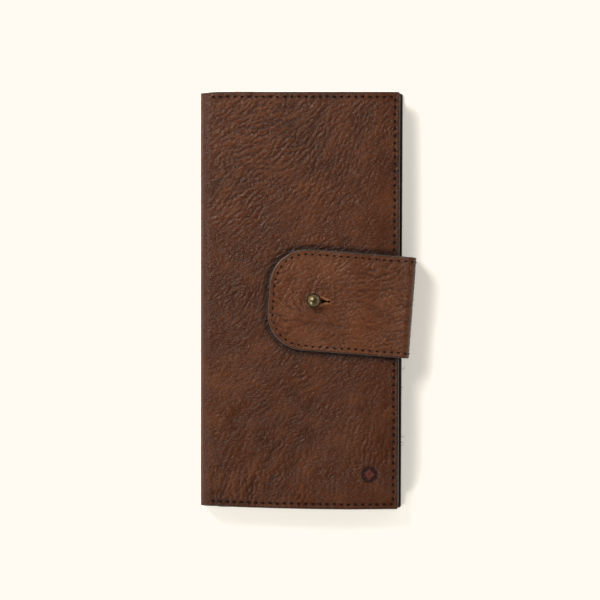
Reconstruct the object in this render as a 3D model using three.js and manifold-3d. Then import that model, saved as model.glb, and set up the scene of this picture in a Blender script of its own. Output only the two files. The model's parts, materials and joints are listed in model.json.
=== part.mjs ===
// Long wallet with a strap closure, closed and lying on its back cover.
//
// Millimetres, +Z up. +Y runs along the spine, and the covers open at +X.
// The outer hide is three panels, back, spine and front, hinged at the spine's two outer corners,
// so that the wallet opens flat. The strap is anchored under the back lining, bends around the
// opening edge, and its tab lies over the front cover with a keyhole around the ball stud.

import * as THREE from 'three';
import { mergeVertices } from 'three/addons/utils/BufferGeometryUtils.js';
import Module from 'manifold-3d';

const wasm = await Module();
wasm.setup();

// ---- Driving dimensions ----

const GAP = 0.3;              // clearance between neighbouring pieces
const HIDE = 1.8;             // outer hide thickness
const STRAP_HIDE = 1.3;       // grain layer of the strap
const LINING = 0.8;           // lining leather and card pockets
const PANEL = 0.9;            // slip pocket and coin pocket face
const TAPE = 0.4;             // woven zip tape

const LENGTH = 197;           // along the spine, at the opening edge
const SPINE_LENGTH = 193.4;   // the hide is drawn in a little at the fold
const DRAW_IN = 5;            // distance from the fold over which it is drawn in
const FRONT_WIDTH = 92.8;     // front cover, from the spine's outer face
const BACK_WIDTH = 94.9;      // the back cover shows past the front one
const CORNER = 1.4;           // corner radius at the opening edge
const CLOSED_THICKNESS = 18.8;

const STUD_FROM_SPINE = 53.4;
const STRAP_TILT = THREE.MathUtils.degToRad(-4.4);   // about +Z, around the stud
const STRAP_WIDTH = 47.8;
const STRAP_TIP = 21.3;       // from the stud to the tab's round end
const STRAP_REACH = 46.8;     // from the stud to the outer face of the strap's bend
const STRAP_ANCHOR = 27;      // length of strap sewn in under the back lining
const TAB_CORNER = 18;        // corner radius of the tab's round end
const TAB_LINING_INSET = 0.5; // the tab's lining stops this far inside its edge

const BALL = 6.3;             // stud ball diameter
const NECK = 3.8;
const FLANGE = 9;
const FLANGE_THICKNESS = 0.8;
const SCREW = 2;              // screw shank diameter
const SCREW_HEAD = 8;
const SCREW_HEAD_THICKNESS = 1;
const DRIVER_SLOT_WIDTH = 1;
const DRIVER_SLOT_DEPTH = 0.4;
const KEYHOLE = 5;            // round hole in the tab
const SLIT_LENGTH = 5;        // slit from the hole towards the bend
const SLIT_WIDTH = 1;

const STAMP = 8;              // round tool mark on the front cover
const STAMP_FROM_EDGE = 13.8; // from the front cover's opening edge
const STAMP_FROM_END = 16.4;  // from the front cover's lower end
const STAMP_DEPTH = 0.3;
const DIAMOND = 0.55;         // width of the diamond left standing in the mark, in mark diameters

const TIER_COUNT = 4;         // card pockets in each column
const TIER_PITCH = 12;
const TIER_DEPTH = 46;        // opening of the shortest tier, from the pockets' closed end
const COLUMN_GAP = 2;         // between the two columns of card pockets

const SEAM_INSET = 1.2;       // inner layers stop this far inside the covers' edges
const ZIP_FROM_SPINE = 15.5;
const ZIP_LENGTH = 146;
const ZIP_WINDOW = 8.8;       // width of the slot in the coin pocket face
const WINDOW_SPARE = 3;       // from the end of the zip to the end of the slot
const TAPE_PAST_WINDOW = 4;   // tape hidden under the face on each side
const TAPE_PAST_ZIP = 6;      // tape beyond the zip at each end
const TOOTH_PITCH = 2.4;
const TOOTH_THICKNESS = 1.2;
const TEETH_INNER = 0.55;     // from the zip's centre line to the teeth
const TEETH_OUTER = 2.3;
const TEETH_ROOT = 0.6;       // width of the strip that joins a row of teeth
const STOP_LENGTH = 2;
const SLIDER_LENGTH = 9;
const SLIDER_WIDTH = 8;
const SLIDER_PLATE = 0.6;
const SLIDER_WEB = 0.5;
const SLIDER_FROM_STOP = 1;
const BRIDGE_LENGTH = 6.8;    // the arch on the slider that holds the pull
const BRIDGE_WIDTH = 2.4;
const BRIDGE_HEIGHT = 2.2;
const BRIDGE_BAR = 0.6;
const BRIDGE_LEG = 0.8;
const PULL_LENGTH = 24;
const PULL_WIDTH = 5;
const PULL_THICKNESS = 1;
const PULL_CORNER = 1.5;
const PULL_RIM = 0.8;         // from the pull's end to its eye
const PULL_PLAY = 0.4;        // between the bridge and the ends of the pull's eye
const PULL_EYE = 3;           // width of the pull's eye

const OVERLAP = 0.1;          // solids that are joined reach this far into each other
const THROUGH = 1;            // cutting tools reach this far past what they cut

// ---- Positions worked out from them ----

const strapFarCorner = STRAP_REACH * Math.cos(STRAP_TILT) - (STRAP_WIDTH / 2) * Math.sin(STRAP_TILT);
const overallWidth = STUD_FROM_SPINE + strapFarCorner;
const spineX = -overallWidth / 2;           // the origin is under the middle of the whole wallet
const studX = spineX + STUD_FROM_SPINE;
const zipX = spineX + ZIP_FROM_SPINE;
const innerX = spineX + HIDE + LINING + 2 * GAP;   // where the flat inner layers start
const frontEdgeX = spineX + FRONT_WIDTH;
const backEdgeX = spineX + BACK_WIDTH;

// Height of the underside of each layer, stacked from the back cover up.
const anchorZ = HIDE + GAP;
const anchorLiningZ = anchorZ + STRAP_HIDE + GAP;
const slipPanelZ = anchorLiningZ + LINING + GAP;
const coinBackZ = slipPanelZ + PANEL + GAP;
const sliderZ = coinBackZ + LINING + GAP;
const teethZ = sliderZ + SLIDER_PLATE + GAP;
const tapeZ = teethZ + (TOOTH_THICKNESS - TAPE) / 2;
const coinFaceZ = tapeZ + TAPE + GAP;
const sliderTopZ = teethZ + TOOTH_THICKNESS + GAP;

// The front half, stacked down from the top of the front cover.
const frontCoverZ = CLOSED_THICKNESS - HIDE;
const frontLiningZ = frontCoverZ - GAP - LINING;
const billPanelZ = frontLiningZ - GAP - LINING;
const tabLiningZ = CLOSED_THICKNESS + GAP;
const tabZ = tabLiningZ + LINING + GAP;

// ---- Materials ----

function material(colour, roughness, metalness = 0) {
  return new THREE.MeshStandardMaterial({ color: colour, roughness, metalness });
}

const hide = material(0x5c3e30, 0.5);
const strapHide = material(0x60433a, 0.48);
const liningLeather = material(0x4a3024, 0.7);
const pocketLeather = material(0x553829, 0.55);
const cloth = material(0x2a211c, 0.9);
const brass = material(0x8a6a3c, 0.35, 1);

// ---- Geometry helpers ----

function toSolid(geometry) {
  const bare = geometry.clone();
  bare.deleteAttribute('normal');
  bare.deleteAttribute('uv');
  const merged = mergeVertices(bare);
  return new wasm.Manifold(new wasm.Mesh({
    numProp: 3,
    vertProperties: merged.attributes.position.array,
    triVerts: new Uint32Array(merged.index.array),
  }));
}

function toGeometry(solid) {
  const mesh = solid.getMesh();
  const geometry = new THREE.BufferGeometry();
  geometry.setAttribute('position', new THREE.BufferAttribute(mesh.vertProperties, 3));
  geometry.setIndex(new THREE.BufferAttribute(mesh.triVerts, 1));
  geometry.computeVertexNormals();
  return geometry;
}

function cut(geometry, ...tools) {
  const solid = tools.reduce((rest, tool) => rest.subtract(toSolid(tool)), toSolid(geometry));
  return toGeometry(solid);
}

function join(geometry, ...others) {
  const solid = others.reduce((whole, other) => whole.add(toSolid(other)), toSolid(geometry));
  return toGeometry(solid);
}

function slab(shape, z, thickness) {
  const geometry = new THREE.ExtrudeGeometry(shape, {
    depth: thickness,
    bevelEnabled: false,
    curveSegments: 8,
  });
  return geometry.translate(0, 0, z);
}

function box(x0, x1, y0, y1, z0, z1) {
  const geometry = new THREE.BoxGeometry(x1 - x0, y1 - y0, z1 - z0);
  return geometry.translate((x0 + x1) / 2, (y0 + y1) / 2, (z0 + z1) / 2);
}

function disc(x, y, z, diameter, thickness, sides = 32) {
  const geometry = new THREE.CylinderGeometry(diameter / 2, diameter / 2, thickness, sides);
  return geometry.rotateX(Math.PI / 2).translate(x, y, z + thickness / 2);
}

function rectangle(x0, x1, y0, y1) {
  const shape = new THREE.Shape();
  shape.moveTo(x0, y0);
  shape.lineTo(x1, y0);
  shape.lineTo(x1, y1);
  shape.lineTo(x0, y1);
  shape.closePath();
  return shape;
}

// A panel outline with round corners on its +X side only.
function roundedRight(x0, x1, y0, y1, radius) {
  const shape = new THREE.Shape();
  shape.moveTo(x0, y0);
  shape.lineTo(x1 - radius, y0);
  shape.absarc(x1 - radius, y0 + radius, radius, -Math.PI / 2, 0);
  shape.lineTo(x1, y1 - radius);
  shape.absarc(x1 - radius, y1 - radius, radius, 0, Math.PI / 2);
  shape.lineTo(x0, y1);
  shape.closePath();
  return shape;
}

// A cover outline: drawn in at the fold, round at the two free corners.
function coverOutline(width) {
  const half = LENGTH / 2;
  const foldHalf = SPINE_LENGTH / 2;
  const edge = spineX + width;
  const shape = new THREE.Shape();
  shape.moveTo(spineX, -foldHalf);
  shape.lineTo(spineX + DRAW_IN, -half);
  shape.lineTo(edge - CORNER, -half);
  shape.absarc(edge - CORNER, -half + CORNER, CORNER, -Math.PI / 2, 0);
  shape.lineTo(edge, half - CORNER);
  shape.absarc(edge - CORNER, half - CORNER, CORNER, 0, Math.PI / 2);
  shape.lineTo(spineX + DRAW_IN, half);
  shape.lineTo(spineX, foldHalf);
  shape.closePath();
  return shape;
}

function piece(name, geometry, surface) {
  const mesh = new THREE.Mesh(geometry, surface);
  mesh.name = name;
  return mesh;
}

// A flat inner layer as long as the covers less their seam.
function innerLayer(x1, z, thickness) {
  const half = LENGTH / 2 - SEAM_INSET - DRAW_IN / 4;
  return slab(roundedRight(innerX, x1, -half, half, CORNER), z, thickness);
}

// ---- Strap ----

// The strap is drawn about the stud, u along it towards the bend and v across it.
function strapBlock(u0, u1, z0, z1, spare = 0) {
  const half = STRAP_WIDTH / 2 + spare;
  return box(u0 - spare, u1, -half, half, z0, z1);
}

function tabOutline(inset, end) {
  const tip = -STRAP_TIP + inset;
  const half = STRAP_WIDTH / 2 - inset;
  const radius = TAB_CORNER - inset;
  const shape = new THREE.Shape();
  shape.moveTo(end, -half);
  shape.lineTo(end, half);
  shape.lineTo(tip + radius, half);
  shape.absarc(tip + radius, half - radius, radius, Math.PI / 2, Math.PI);
  shape.lineTo(tip, -half + radius);
  shape.absarc(tip + radius, -half + radius, radius, Math.PI, 1.5 * Math.PI);
  shape.closePath();
  return shape;
}

function tabLayer(inset, end, z, thickness) {
  const low = z - THROUGH;
  const high = z + thickness + THROUGH;
  const hole = disc(0, 0, low, KEYHOLE, high - low);
  const slit = box(0, SLIT_LENGTH + KEYHOLE / 2, -SLIT_WIDTH / 2, SLIT_WIDTH / 2, low, high);
  return cut(slab(tabOutline(inset, end), z, thickness), hole, slit);
}

const bendInner = STRAP_REACH - STRAP_HIDE;         // inner face of the grain layer at the bend
const liningFace = bendInner - GAP;                 // outer face of the lining at the bend
const anchorEnd = STRAP_REACH - STRAP_ANCHOR;

function strap() {
  const group = new THREE.Group();
  group.position.x = studX;
  group.rotation.z = STRAP_TILT;
  group.add(
    piece('strap_anchor', strapBlock(anchorEnd, STRAP_REACH, anchorZ, anchorZ + STRAP_HIDE), strapHide),
    piece('strap_anchor_lining',
      strapBlock(anchorEnd, liningFace, anchorLiningZ, anchorLiningZ + LINING), liningLeather),
    piece('strap_bend', strapBlock(bendInner, STRAP_REACH, anchorLiningZ, tabZ - GAP), strapHide),
    piece('strap_bend_lining',
      strapBlock(liningFace - LINING, liningFace, slipPanelZ, tabLiningZ - GAP), liningLeather),
    piece('strap_tab', tabLayer(0, STRAP_REACH, tabZ, STRAP_HIDE), strapHide),
    piece('strap_tab_lining',
      tabLayer(TAB_LINING_INSET, liningFace, tabLiningZ, LINING), liningLeather),
  );
  return group;
}

// ---- Back half ----

// The space that the strap's anchor needs inside the back lining.
function anchorNotch() {
  const notch = strapBlock(anchorEnd, STRAP_REACH + THROUGH, anchorZ - THROUGH, slipPanelZ, GAP + OVERLAP);
  return notch.rotateZ(STRAP_TILT).translate(studX, 0, 0);
}

function backHalf() {
  const group = new THREE.Group();
  const edge = backEdgeX - SEAM_INSET;
  group.add(
    piece('back_cover', slab(coverOutline(BACK_WIDTH), 0, HIDE), hide),
    piece('back_lining', cut(innerLayer(edge, anchorZ, LINING), anchorNotch()), liningLeather),
    piece('slip_pocket', innerLayer(edge, slipPanelZ, PANEL), pocketLeather),
  );
  return group;
}

function coinPocket() {
  const group = new THREE.Group();
  const edge = backEdgeX - SEAM_INSET;
  const window = box(
    zipX - ZIP_WINDOW / 2, zipX + ZIP_WINDOW / 2,
    -ZIP_LENGTH / 2 - WINDOW_SPARE, ZIP_LENGTH / 2 + WINDOW_SPARE,
    coinFaceZ - THROUGH, coinFaceZ + PANEL + THROUGH,
  );
  group.add(
    piece('coin_pocket_back', innerLayer(edge, coinBackZ, LINING), liningLeather),
    piece('coin_pocket_face', cut(innerLayer(edge, coinFaceZ, PANEL), window), pocketLeather),
  );
  return group;
}

// ---- Zip ----

// One row of teeth as a comb, on the side of the centre line that side gives.
function teethRow(side) {
  const shape = new THREE.Shape();
  const root = TEETH_OUTER - TEETH_ROOT;
  const count = Math.floor((ZIP_LENGTH - SLIDER_LENGTH) / TOOTH_PITCH);
  const start = (-count * TOOTH_PITCH) / 2;
  shape.moveTo(TEETH_OUTER, start);
  shape.lineTo(root, start);
  for (let tooth = 0; tooth < count; tooth += 1) {
    const middle = start + (tooth + 0.5) * TOOTH_PITCH;
    const near = middle - TOOTH_PITCH / 4;
    const far = middle + TOOTH_PITCH / 4;
    shape.lineTo(root, near);
    shape.lineTo(TEETH_INNER, near);
    shape.lineTo(TEETH_INNER, far);
    shape.lineTo(root, far);
  }
  shape.lineTo(root, -start);
  shape.lineTo(TEETH_OUTER, -start);
  shape.closePath();
  const row = slab(shape, teethZ, TOOTH_THICKNESS);
  return row.rotateZ(side < 0 ? Math.PI : 0).translate(zipX, 0, 0);
}

function tape(side) {
  const inner = side * (TEETH_OUTER + GAP);
  const outer = side * (ZIP_WINDOW / 2 + TAPE_PAST_WINDOW);
  const [x0, x1] = [Math.min(inner, outer), Math.max(inner, outer)];
  const half = ZIP_LENGTH / 2 + TAPE_PAST_ZIP;
  return box(zipX + x0, zipX + x1, -half, half, tapeZ, tapeZ + TAPE);
}

function stop(y) {
  return box(
    zipX - TEETH_OUTER, zipX + TEETH_OUTER, y, y + STOP_LENGTH, teethZ, teethZ + TOOTH_THICKNESS,
  );
}

// The slider rests at the +Y end: two plates, the web between the teeth, and the pull's bridge.
const sliderY = ZIP_LENGTH / 2 - SLIDER_LENGTH / 2 - SLIDER_FROM_STOP;
const legY = (BRIDGE_LENGTH - BRIDGE_LEG) / 2;      // from the slider's middle to each leg's

function slider() {
  const half = SLIDER_LENGTH / 2;
  const wide = SLIDER_WIDTH / 2;
  const narrow = BRIDGE_WIDTH / 2;
  const plateTop = sliderTopZ + SLIDER_PLATE;
  const bridgeTop = plateTop + BRIDGE_HEIGHT;
  const bottom = box(-wide, wide, -half, half, sliderZ, sliderZ + SLIDER_PLATE);
  const web = box(
    -SLIDER_WEB / 2, SLIDER_WEB / 2, -half, half,
    sliderZ + SLIDER_PLATE - OVERLAP, sliderTopZ + OVERLAP,
  );
  const top = box(-wide, wide, -half, half, sliderTopZ, plateTop);
  const legs = [-legY, legY].map((y) => box(
    -narrow, narrow, y - BRIDGE_LEG / 2, y + BRIDGE_LEG / 2, plateTop - OVERLAP, bridgeTop - OVERLAP,
  ));
  const bar = box(
    -narrow, narrow, -BRIDGE_LENGTH / 2, BRIDGE_LENGTH / 2, bridgeTop - BRIDGE_BAR, bridgeTop,
  );
  return join(bottom, web, top, ...legs, bar).translate(zipX, sliderY, 0);
}

// The pull lies along the zip towards -Y with its eye around the bridge's near leg. The eye is long
// enough to clear the whole bridge when the pull is turned over to lie towards +Y.
function pull() {
  const z = sliderTopZ + SLIDER_PLATE + GAP;
  const half = PULL_WIDTH / 2;
  const eyeStart = legY - BRIDGE_LEG / 2 - PULL_PLAY;
  const eyeEnd = 2 * legY + BRIDGE_LENGTH / 2 + PULL_PLAY;
  const strip = roundedRight(0, PULL_LENGTH, -half, half, PULL_CORNER);
  const flat = slab(strip, z, PULL_THICKNESS).rotateZ(-Math.PI / 2);
  const eye = box(
    -PULL_EYE / 2, PULL_EYE / 2, -eyeEnd, -eyeStart, z - THROUGH, z + PULL_THICKNESS + THROUGH,
  );
  return cut(flat.translate(0, PULL_RIM - eyeStart, 0), eye).translate(zipX, sliderY, 0);
}

function zip() {
  const group = new THREE.Group();
  const stopY = ZIP_LENGTH / 2;
  group.add(
    piece('zip_tape_left', tape(-1), cloth),
    piece('zip_tape_right', tape(1), cloth),
    piece('zip_teeth_left', teethRow(-1), brass),
    piece('zip_teeth_right', teethRow(1), brass),
    piece('zip_top_stop', stop(stopY), brass),
    piece('zip_bottom_stop', stop(-stopY - STOP_LENGTH), brass),
    piece('zip_slider', slider(), brass),
    piece('zip_pull', pull(), pocketLeather),
  );
  return group;
}

// ---- Spine ----

function spine() {
  const group = new THREE.Group();
  const half = SPINE_LENGTH / 2;
  const coverZ = HIDE + GAP;
  const liningX = spineX + HIDE + GAP;
  const liningZ = coverZ + LINING + GAP;
  group.add(
    piece('spine_cover',
      box(spineX, spineX + HIDE, -half, half, coverZ, CLOSED_THICKNESS - coverZ), hide),
    piece('spine_lining',
      box(liningX, liningX + LINING, -half + SEAM_INSET, half - SEAM_INSET,
        liningZ, CLOSED_THICKNESS - liningZ), liningLeather),
  );
  return group;
}

// ---- Front half ----

// The front cover has a seat and bore for the stud, and a shallow round tool mark.
function frontCover() {
  const top = CLOSED_THICKNESS;
  const seatZ = top - FLANGE_THICKNESS - GAP;
  const seat = disc(studX, 0, seatZ, FLANGE + 2 * GAP, FLANGE_THICKNESS + THROUGH);
  const bore = disc(studX, 0, frontCoverZ - THROUGH, NECK + 2 * GAP, HIDE + 2 * THROUGH);
  const stampX = frontEdgeX - STAMP_FROM_EDGE;
  const stampY = -LENGTH / 2 + STAMP_FROM_END;
  const mark = disc(stampX, stampY, top - STAMP_DEPTH, STAMP, THROUGH);
  const markBase = top - STAMP_DEPTH - THROUGH;
  const diamond = disc(stampX, stampY, markBase, STAMP * DIAMOND, 3 * THROUGH, 4);
  return cut(slab(coverOutline(FRONT_WIDTH), frontCoverZ, HIDE), seat, bore, cut(mark, diamond));
}

function frontHalf() {
  const group = new THREE.Group();
  const edge = frontEdgeX - SEAM_INSET;
  const screwHole = disc(
    studX, 0, frontLiningZ - THROUGH, SCREW_HEAD + 4 * GAP, LINING + 2 * THROUGH,
  );
  group.add(
    piece('front_cover', frontCover(), hide),
    piece('front_lining', cut(innerLayer(edge, frontLiningZ, LINING), screwHole), liningLeather),
    piece('bill_panel', innerLayer(edge, billPanelZ, LINING), pocketLeather),
  );
  return group;
}

// Each tier opens towards the spine, and the shortest is the innermost.
function cardPockets() {
  const group = new THREE.Group();
  const edge = frontEdgeX - SEAM_INSET;
  const half = LENGTH / 2 - SEAM_INSET - DRAW_IN / 4;
  const columns = [['upper', COLUMN_GAP / 2, half], ['lower', -half, -COLUMN_GAP / 2]];
  for (const [column, y0, y1] of columns) {
    for (let tier = 1; tier <= TIER_COUNT; tier += 1) {
      const opening = edge - TIER_DEPTH - (TIER_COUNT - tier) * TIER_PITCH;
      const z = billPanelZ - tier * (LINING + GAP);
      const outline = rectangle(opening, edge, y0, y1);
      group.add(piece(`card_pocket_${column}_${tier}`, slab(outline, z, LINING), pocketLeather));
    }
  }
  return group;
}

// ---- Ball stud ----

function studHead() {
  const seatZ = CLOSED_THICKNESS - FLANGE_THICKNESS;
  const neck = NECK / 2;
  const ball = BALL / 2;
  const ballZ = tabZ + STRAP_HIDE + GAP + ball;
  const neckAngle = Math.asin(neck / ball);
  const profile = [
    new THREE.Vector2(SCREW / 2 + GAP, seatZ),
    new THREE.Vector2(FLANGE / 2, seatZ),
    new THREE.Vector2(FLANGE / 2, CLOSED_THICKNESS),
    new THREE.Vector2(neck, CLOSED_THICKNESS),
  ];
  const steps = 14;
  for (let step = 0; step <= steps; step += 1) {
    const angle = neckAngle + ((Math.PI - neckAngle) * step) / steps;
    const radius = step === steps ? 0 : ball * Math.sin(angle);
    profile.push(new THREE.Vector2(radius, ballZ - ball * Math.cos(angle)));
  }
  profile.push(new THREE.Vector2(0, tabZ));
  profile.push(new THREE.Vector2(SCREW / 2 + GAP, tabZ));
  profile.push(profile[0].clone());
  return new THREE.LatheGeometry(profile, 32).rotateX(Math.PI / 2).translate(studX, 0, 0);
}

function studScrew() {
  const headTop = frontCoverZ - GAP;
  const headZ = headTop - SCREW_HEAD_THICKNESS;
  const head = disc(studX, 0, headZ, SCREW_HEAD, SCREW_HEAD_THICKNESS);
  const shankZ = headTop - OVERLAP;
  const shank = disc(studX, 0, shankZ, SCREW, tabZ - GAP - shankZ, 16);
  const slot = box(
    studX - SCREW_HEAD, studX + SCREW_HEAD, -DRIVER_SLOT_WIDTH / 2, DRIVER_SLOT_WIDTH / 2,
    headZ - THROUGH, headZ + DRIVER_SLOT_DEPTH,
  );
  return cut(join(head, shank), slot);
}

function stud() {
  const group = new THREE.Group();
  group.add(
    piece('stud_ball', studHead(), brass),
    piece('stud_screw', studScrew(), brass),
  );
  return group;
}

// ---- The wallet ----

const wallet = new THREE.Group();
wallet.add(
  backHalf(), coinPocket(), zip(), strap(), spine(), frontHalf(), cardPockets(), stud(),
);

export default wallet;
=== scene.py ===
"""Looks of the long wallet: leather, thread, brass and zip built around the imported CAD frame.

Lengths are in millimetres, and new_object turns them into Blender's metres.
"""

import json
import math

import bmesh
import bpy
import numpy as np
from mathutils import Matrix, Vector

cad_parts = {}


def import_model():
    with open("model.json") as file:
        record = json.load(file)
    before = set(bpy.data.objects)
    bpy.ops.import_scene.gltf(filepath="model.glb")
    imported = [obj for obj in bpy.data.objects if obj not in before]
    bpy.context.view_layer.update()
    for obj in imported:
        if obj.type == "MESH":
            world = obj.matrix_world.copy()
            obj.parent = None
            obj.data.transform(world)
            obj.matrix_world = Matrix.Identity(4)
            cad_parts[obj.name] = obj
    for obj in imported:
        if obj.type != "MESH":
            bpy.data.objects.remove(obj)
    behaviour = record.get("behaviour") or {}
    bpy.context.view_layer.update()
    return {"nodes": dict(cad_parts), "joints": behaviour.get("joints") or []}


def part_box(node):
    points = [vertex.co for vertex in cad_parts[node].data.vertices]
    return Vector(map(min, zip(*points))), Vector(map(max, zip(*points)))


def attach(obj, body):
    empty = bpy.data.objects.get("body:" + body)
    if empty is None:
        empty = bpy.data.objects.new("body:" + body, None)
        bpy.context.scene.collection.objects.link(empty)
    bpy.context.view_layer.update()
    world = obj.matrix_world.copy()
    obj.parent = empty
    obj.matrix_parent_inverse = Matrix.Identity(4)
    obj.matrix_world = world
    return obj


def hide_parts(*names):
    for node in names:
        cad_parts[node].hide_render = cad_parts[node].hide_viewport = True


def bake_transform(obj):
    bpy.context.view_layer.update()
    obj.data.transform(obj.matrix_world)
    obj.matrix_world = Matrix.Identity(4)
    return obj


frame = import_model()

MM = 0.001


# ---- Places, from the frame ----

def box_mm(node):
    low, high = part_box(node)
    return np.array(low) / MM, np.array(high) / MM


front_low, front_high = box_mm("front_cover")
_, back_high = box_mm("back_cover")
SPINE_X = front_low[0]
TOP = front_high[2]
HIDE = front_high[2] - front_low[2]
HALF_LENGTH = front_high[1]
FRONT_EDGE = front_high[0]
BACK_EDGE = back_high[0]

stud_low, stud_high = box_mm("stud_ball")
STUD = (stud_low + stud_high)[:2] / 2
JOINTS = {joint["name"]: joint for joint in frame["joints"]}
V_AXIS = np.array(JOINTS["strap_upper_fold"]["axis"][:2])
U_AXIS = np.array([V_AXIS[1], -V_AXIS[0]])


def strap_box(node):
    """A strap node's extent along the strap, across it and in height, measured from the stud."""
    points = np.array([v.co for v in frame["nodes"][node].data.vertices]) / MM
    flat = points[:, :2] - STUD
    local = np.column_stack([flat @ U_AXIS, flat @ V_AXIS, points[:, 2]])
    return local.min(0), local.max(0)


tab_low, tab_high = strap_box("strap_tab")
anchor_low, _ = strap_box("strap_anchor")

STRAP_HALF = tab_high[1]
STRAP_TOP = tab_high[2]
STRAP_FOLD = tab_high[0]
STRAP_HIDE = tab_high[2] - tab_low[2]
STRAP_BOTTOM = anchor_low[2]
STRAP_MIDDLE = (STRAP_TOP + STRAP_BOTTOM) / 2
LINING = box_mm("front_lining")[1][2] - box_mm("front_lining")[0][2]

# ---- Sizes that the frame doesn't give ----

FOLD_RADIUS = 4.5         # outer hide, at the spine's corners
STRAP_FOLD_RADIUS = 3.6
CORNER = 0.9              # of a cover
LAYER_CORNER = 1.5        # of a lining, a pocket layer and the strap's sewn end
TAB_CORNER = 17.5         # of the strap's free end
STITCH_PITCH = 3.35
STITCH_LENGTH = 1.75
THREAD = 0.5              # thread radius
BORDER_SEAM = 2.4         # from a cover's edge to its stitches
STRAP_SEAM = 2.3
RIM = 0.45                # rounding of a cut leather edge
FADE = 0.9                # how near a cut edge the relief fades out
GRAIN_STEP = 0.47         # mesh spacing that carries the covers' creases
STRAP_STEP = 0.5
PLAIN_STEP = 1.5          # mesh spacing of leather without creases
STAMP_RADIUS = 4.0
STAMP_DEPTH = 0.5
STAMP_CENTRE = (FRONT_EDGE - 12.9, -HALF_LENGTH + 16.4)
DIAMOND_REACH = 2.8       # from the middle of the diamond in the stamp to its points
KEYHOLE = 2.3             # radius of the hole around the stud's neck
SLIT_END = 7.2            # from the stud's centre to the small hole that ends the slit


# ---- Small maths ----

def smooth(x, low, high):
    t = np.clip((x - low) / (high - low), 0, 1)
    return t * t * (3 - 2 * t)


def bell(x, centre, width):
    return np.exp(-(((x - centre) / width) ** 2))


def soft_noise(x, y, size, seed):
    """Smooth noise from -1 to 1 whose patches are about size across."""
    table = np.random.default_rng(seed).uniform(-1, 1, (64, 64))
    gx, gy = np.asarray(x) / size, np.asarray(y) / size
    ix, iy = np.floor(gx).astype(int), np.floor(gy).astype(int)
    fx, fy = smooth(gx - ix, 0, 1), smooth(gy - iy, 0, 1)

    def at(di, dj):
        return table[(ix + di) % 64, (iy + dj) % 64]

    low = at(0, 0) * (1 - fx) + at(1, 0) * fx
    high = at(0, 1) * (1 - fx) + at(1, 1) * fx
    return low * (1 - fy) + high * fy


class Creases:
    """Leather creases as a height map: short wave packets laid along a slowly turning heading."""

    STEP = 0.4

    def __init__(self, low, high, heading, layers, seed):
        self.low = np.array(low, float)
        self.rng = np.random.default_rng(seed)
        size = np.array(high, float) - self.low
        shape = np.ceil(size / self.STEP).astype(int) + 2
        self.height = np.zeros(shape)
        for wavelength, weight in layers:
            self.height += weight * self.layer(shape, size, wavelength, heading)
        self.height /= self.height.std()

    def layer(self, shape, size, wavelength, heading):
        along, across = 0.85 * wavelength, 0.6 * wavelength
        reach = int(2.3 * along / self.STEP)
        count = int(6 * size.prod() / (2 * math.pi * along * across))
        offsets = np.arange(-reach, reach + 1) * self.STEP
        dx, dy = np.meshgrid(offsets, offsets, indexing="ij")
        padded = np.zeros(shape + 2 * reach)
        centres = self.rng.uniform(0, 1, (count, 2)) * size
        spot = centres + self.low
        angles = heading(spot[:, 0], spot[:, 1]) + self.rng.normal(0, 0.33, count)
        waves = wavelength * self.rng.uniform(0.75, 1.3, count)
        phases = self.rng.uniform(0, 2 * math.pi, count)
        for (cx, cy), angle, wave, phase in zip(centres, angles, waves, phases):
            p = dx * math.cos(angle) + dy * math.sin(angle)
            q = dy * math.cos(angle) - dx * math.sin(angle)
            packet = np.exp(-((p / along) ** 2 + (q / across) ** 2) / 2)
            packet *= np.cos(2 * math.pi * q / wave + phase)
            i, j = int(cx / self.STEP), int(cy / self.STEP)
            padded[i:i + 2 * reach + 1, j:j + 2 * reach + 1] += packet
        inner = padded[reach:reach + shape[0], reach:reach + shape[1]]
        return inner / inner.std()

    def at(self, s, y):
        gx = np.clip((s - self.low[0]) / self.STEP, 0, self.height.shape[0] - 1.001)
        gy = np.clip((y - self.low[1]) / self.STEP, 0, self.height.shape[1] - 1.001)
        ix, iy = gx.astype(int), gy.astype(int)
        fx, fy = gx - ix, gy - iy
        low = self.height[ix, iy] * (1 - fx) + self.height[ix + 1, iy] * fx
        high = self.height[ix, iy + 1] * (1 - fx) + self.height[ix + 1, iy + 1] * fx
        return low * (1 - fy) + high * fy


def spaced(start, end, step, fine=()):
    """Values from start to end about step apart, closer in each (from, to, fine step) stretch."""
    values = [start]
    while values[-1] < end:
        here = values[-1]
        steps = [fine_step for low, high, fine_step in fine if low <= here < high]
        values.append(here + min([step, *steps]))
    values = np.array(values)
    return start + (values - start) * (end - start) / (values[-1] - start)


# ---- Meshes ----

def new_object(name, vertices, faces, materials, slots=None, attributes=None, sharp=50):
    """A shaded mesh object from millimetre vertices. slots gives each face's material."""
    mesh = bpy.data.meshes.new(name)
    mesh.from_pydata((np.asarray(vertices) * MM).tolist(), [], faces)
    for material in materials:
        mesh.materials.append(material)
    if slots is not None:
        mesh.polygons.foreach_set("material_index", np.asarray(slots, np.int32))
    work = bmesh.new()
    work.from_mesh(mesh)
    bmesh.ops.recalc_face_normals(work, faces=work.faces)
    work.to_mesh(mesh)
    work.free()
    rest = mesh.attributes.new("rest", "FLOAT_VECTOR", "POINT")
    rest.data.foreach_set("vector", np.asarray(vertices, np.float32).ravel())
    for key, values in (attributes or {}).items():
        layer = mesh.attributes.new(key, "FLOAT", "POINT")
        layer.data.foreach_set("value", np.asarray(values, np.float32).ravel())
    mesh.shade_smooth()
    mesh.set_sharp_from_angle(angle=math.radians(sharp))
    made = bpy.data.objects.new(name, mesh)
    bpy.context.scene.collection.objects.link(made)
    return made


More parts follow.
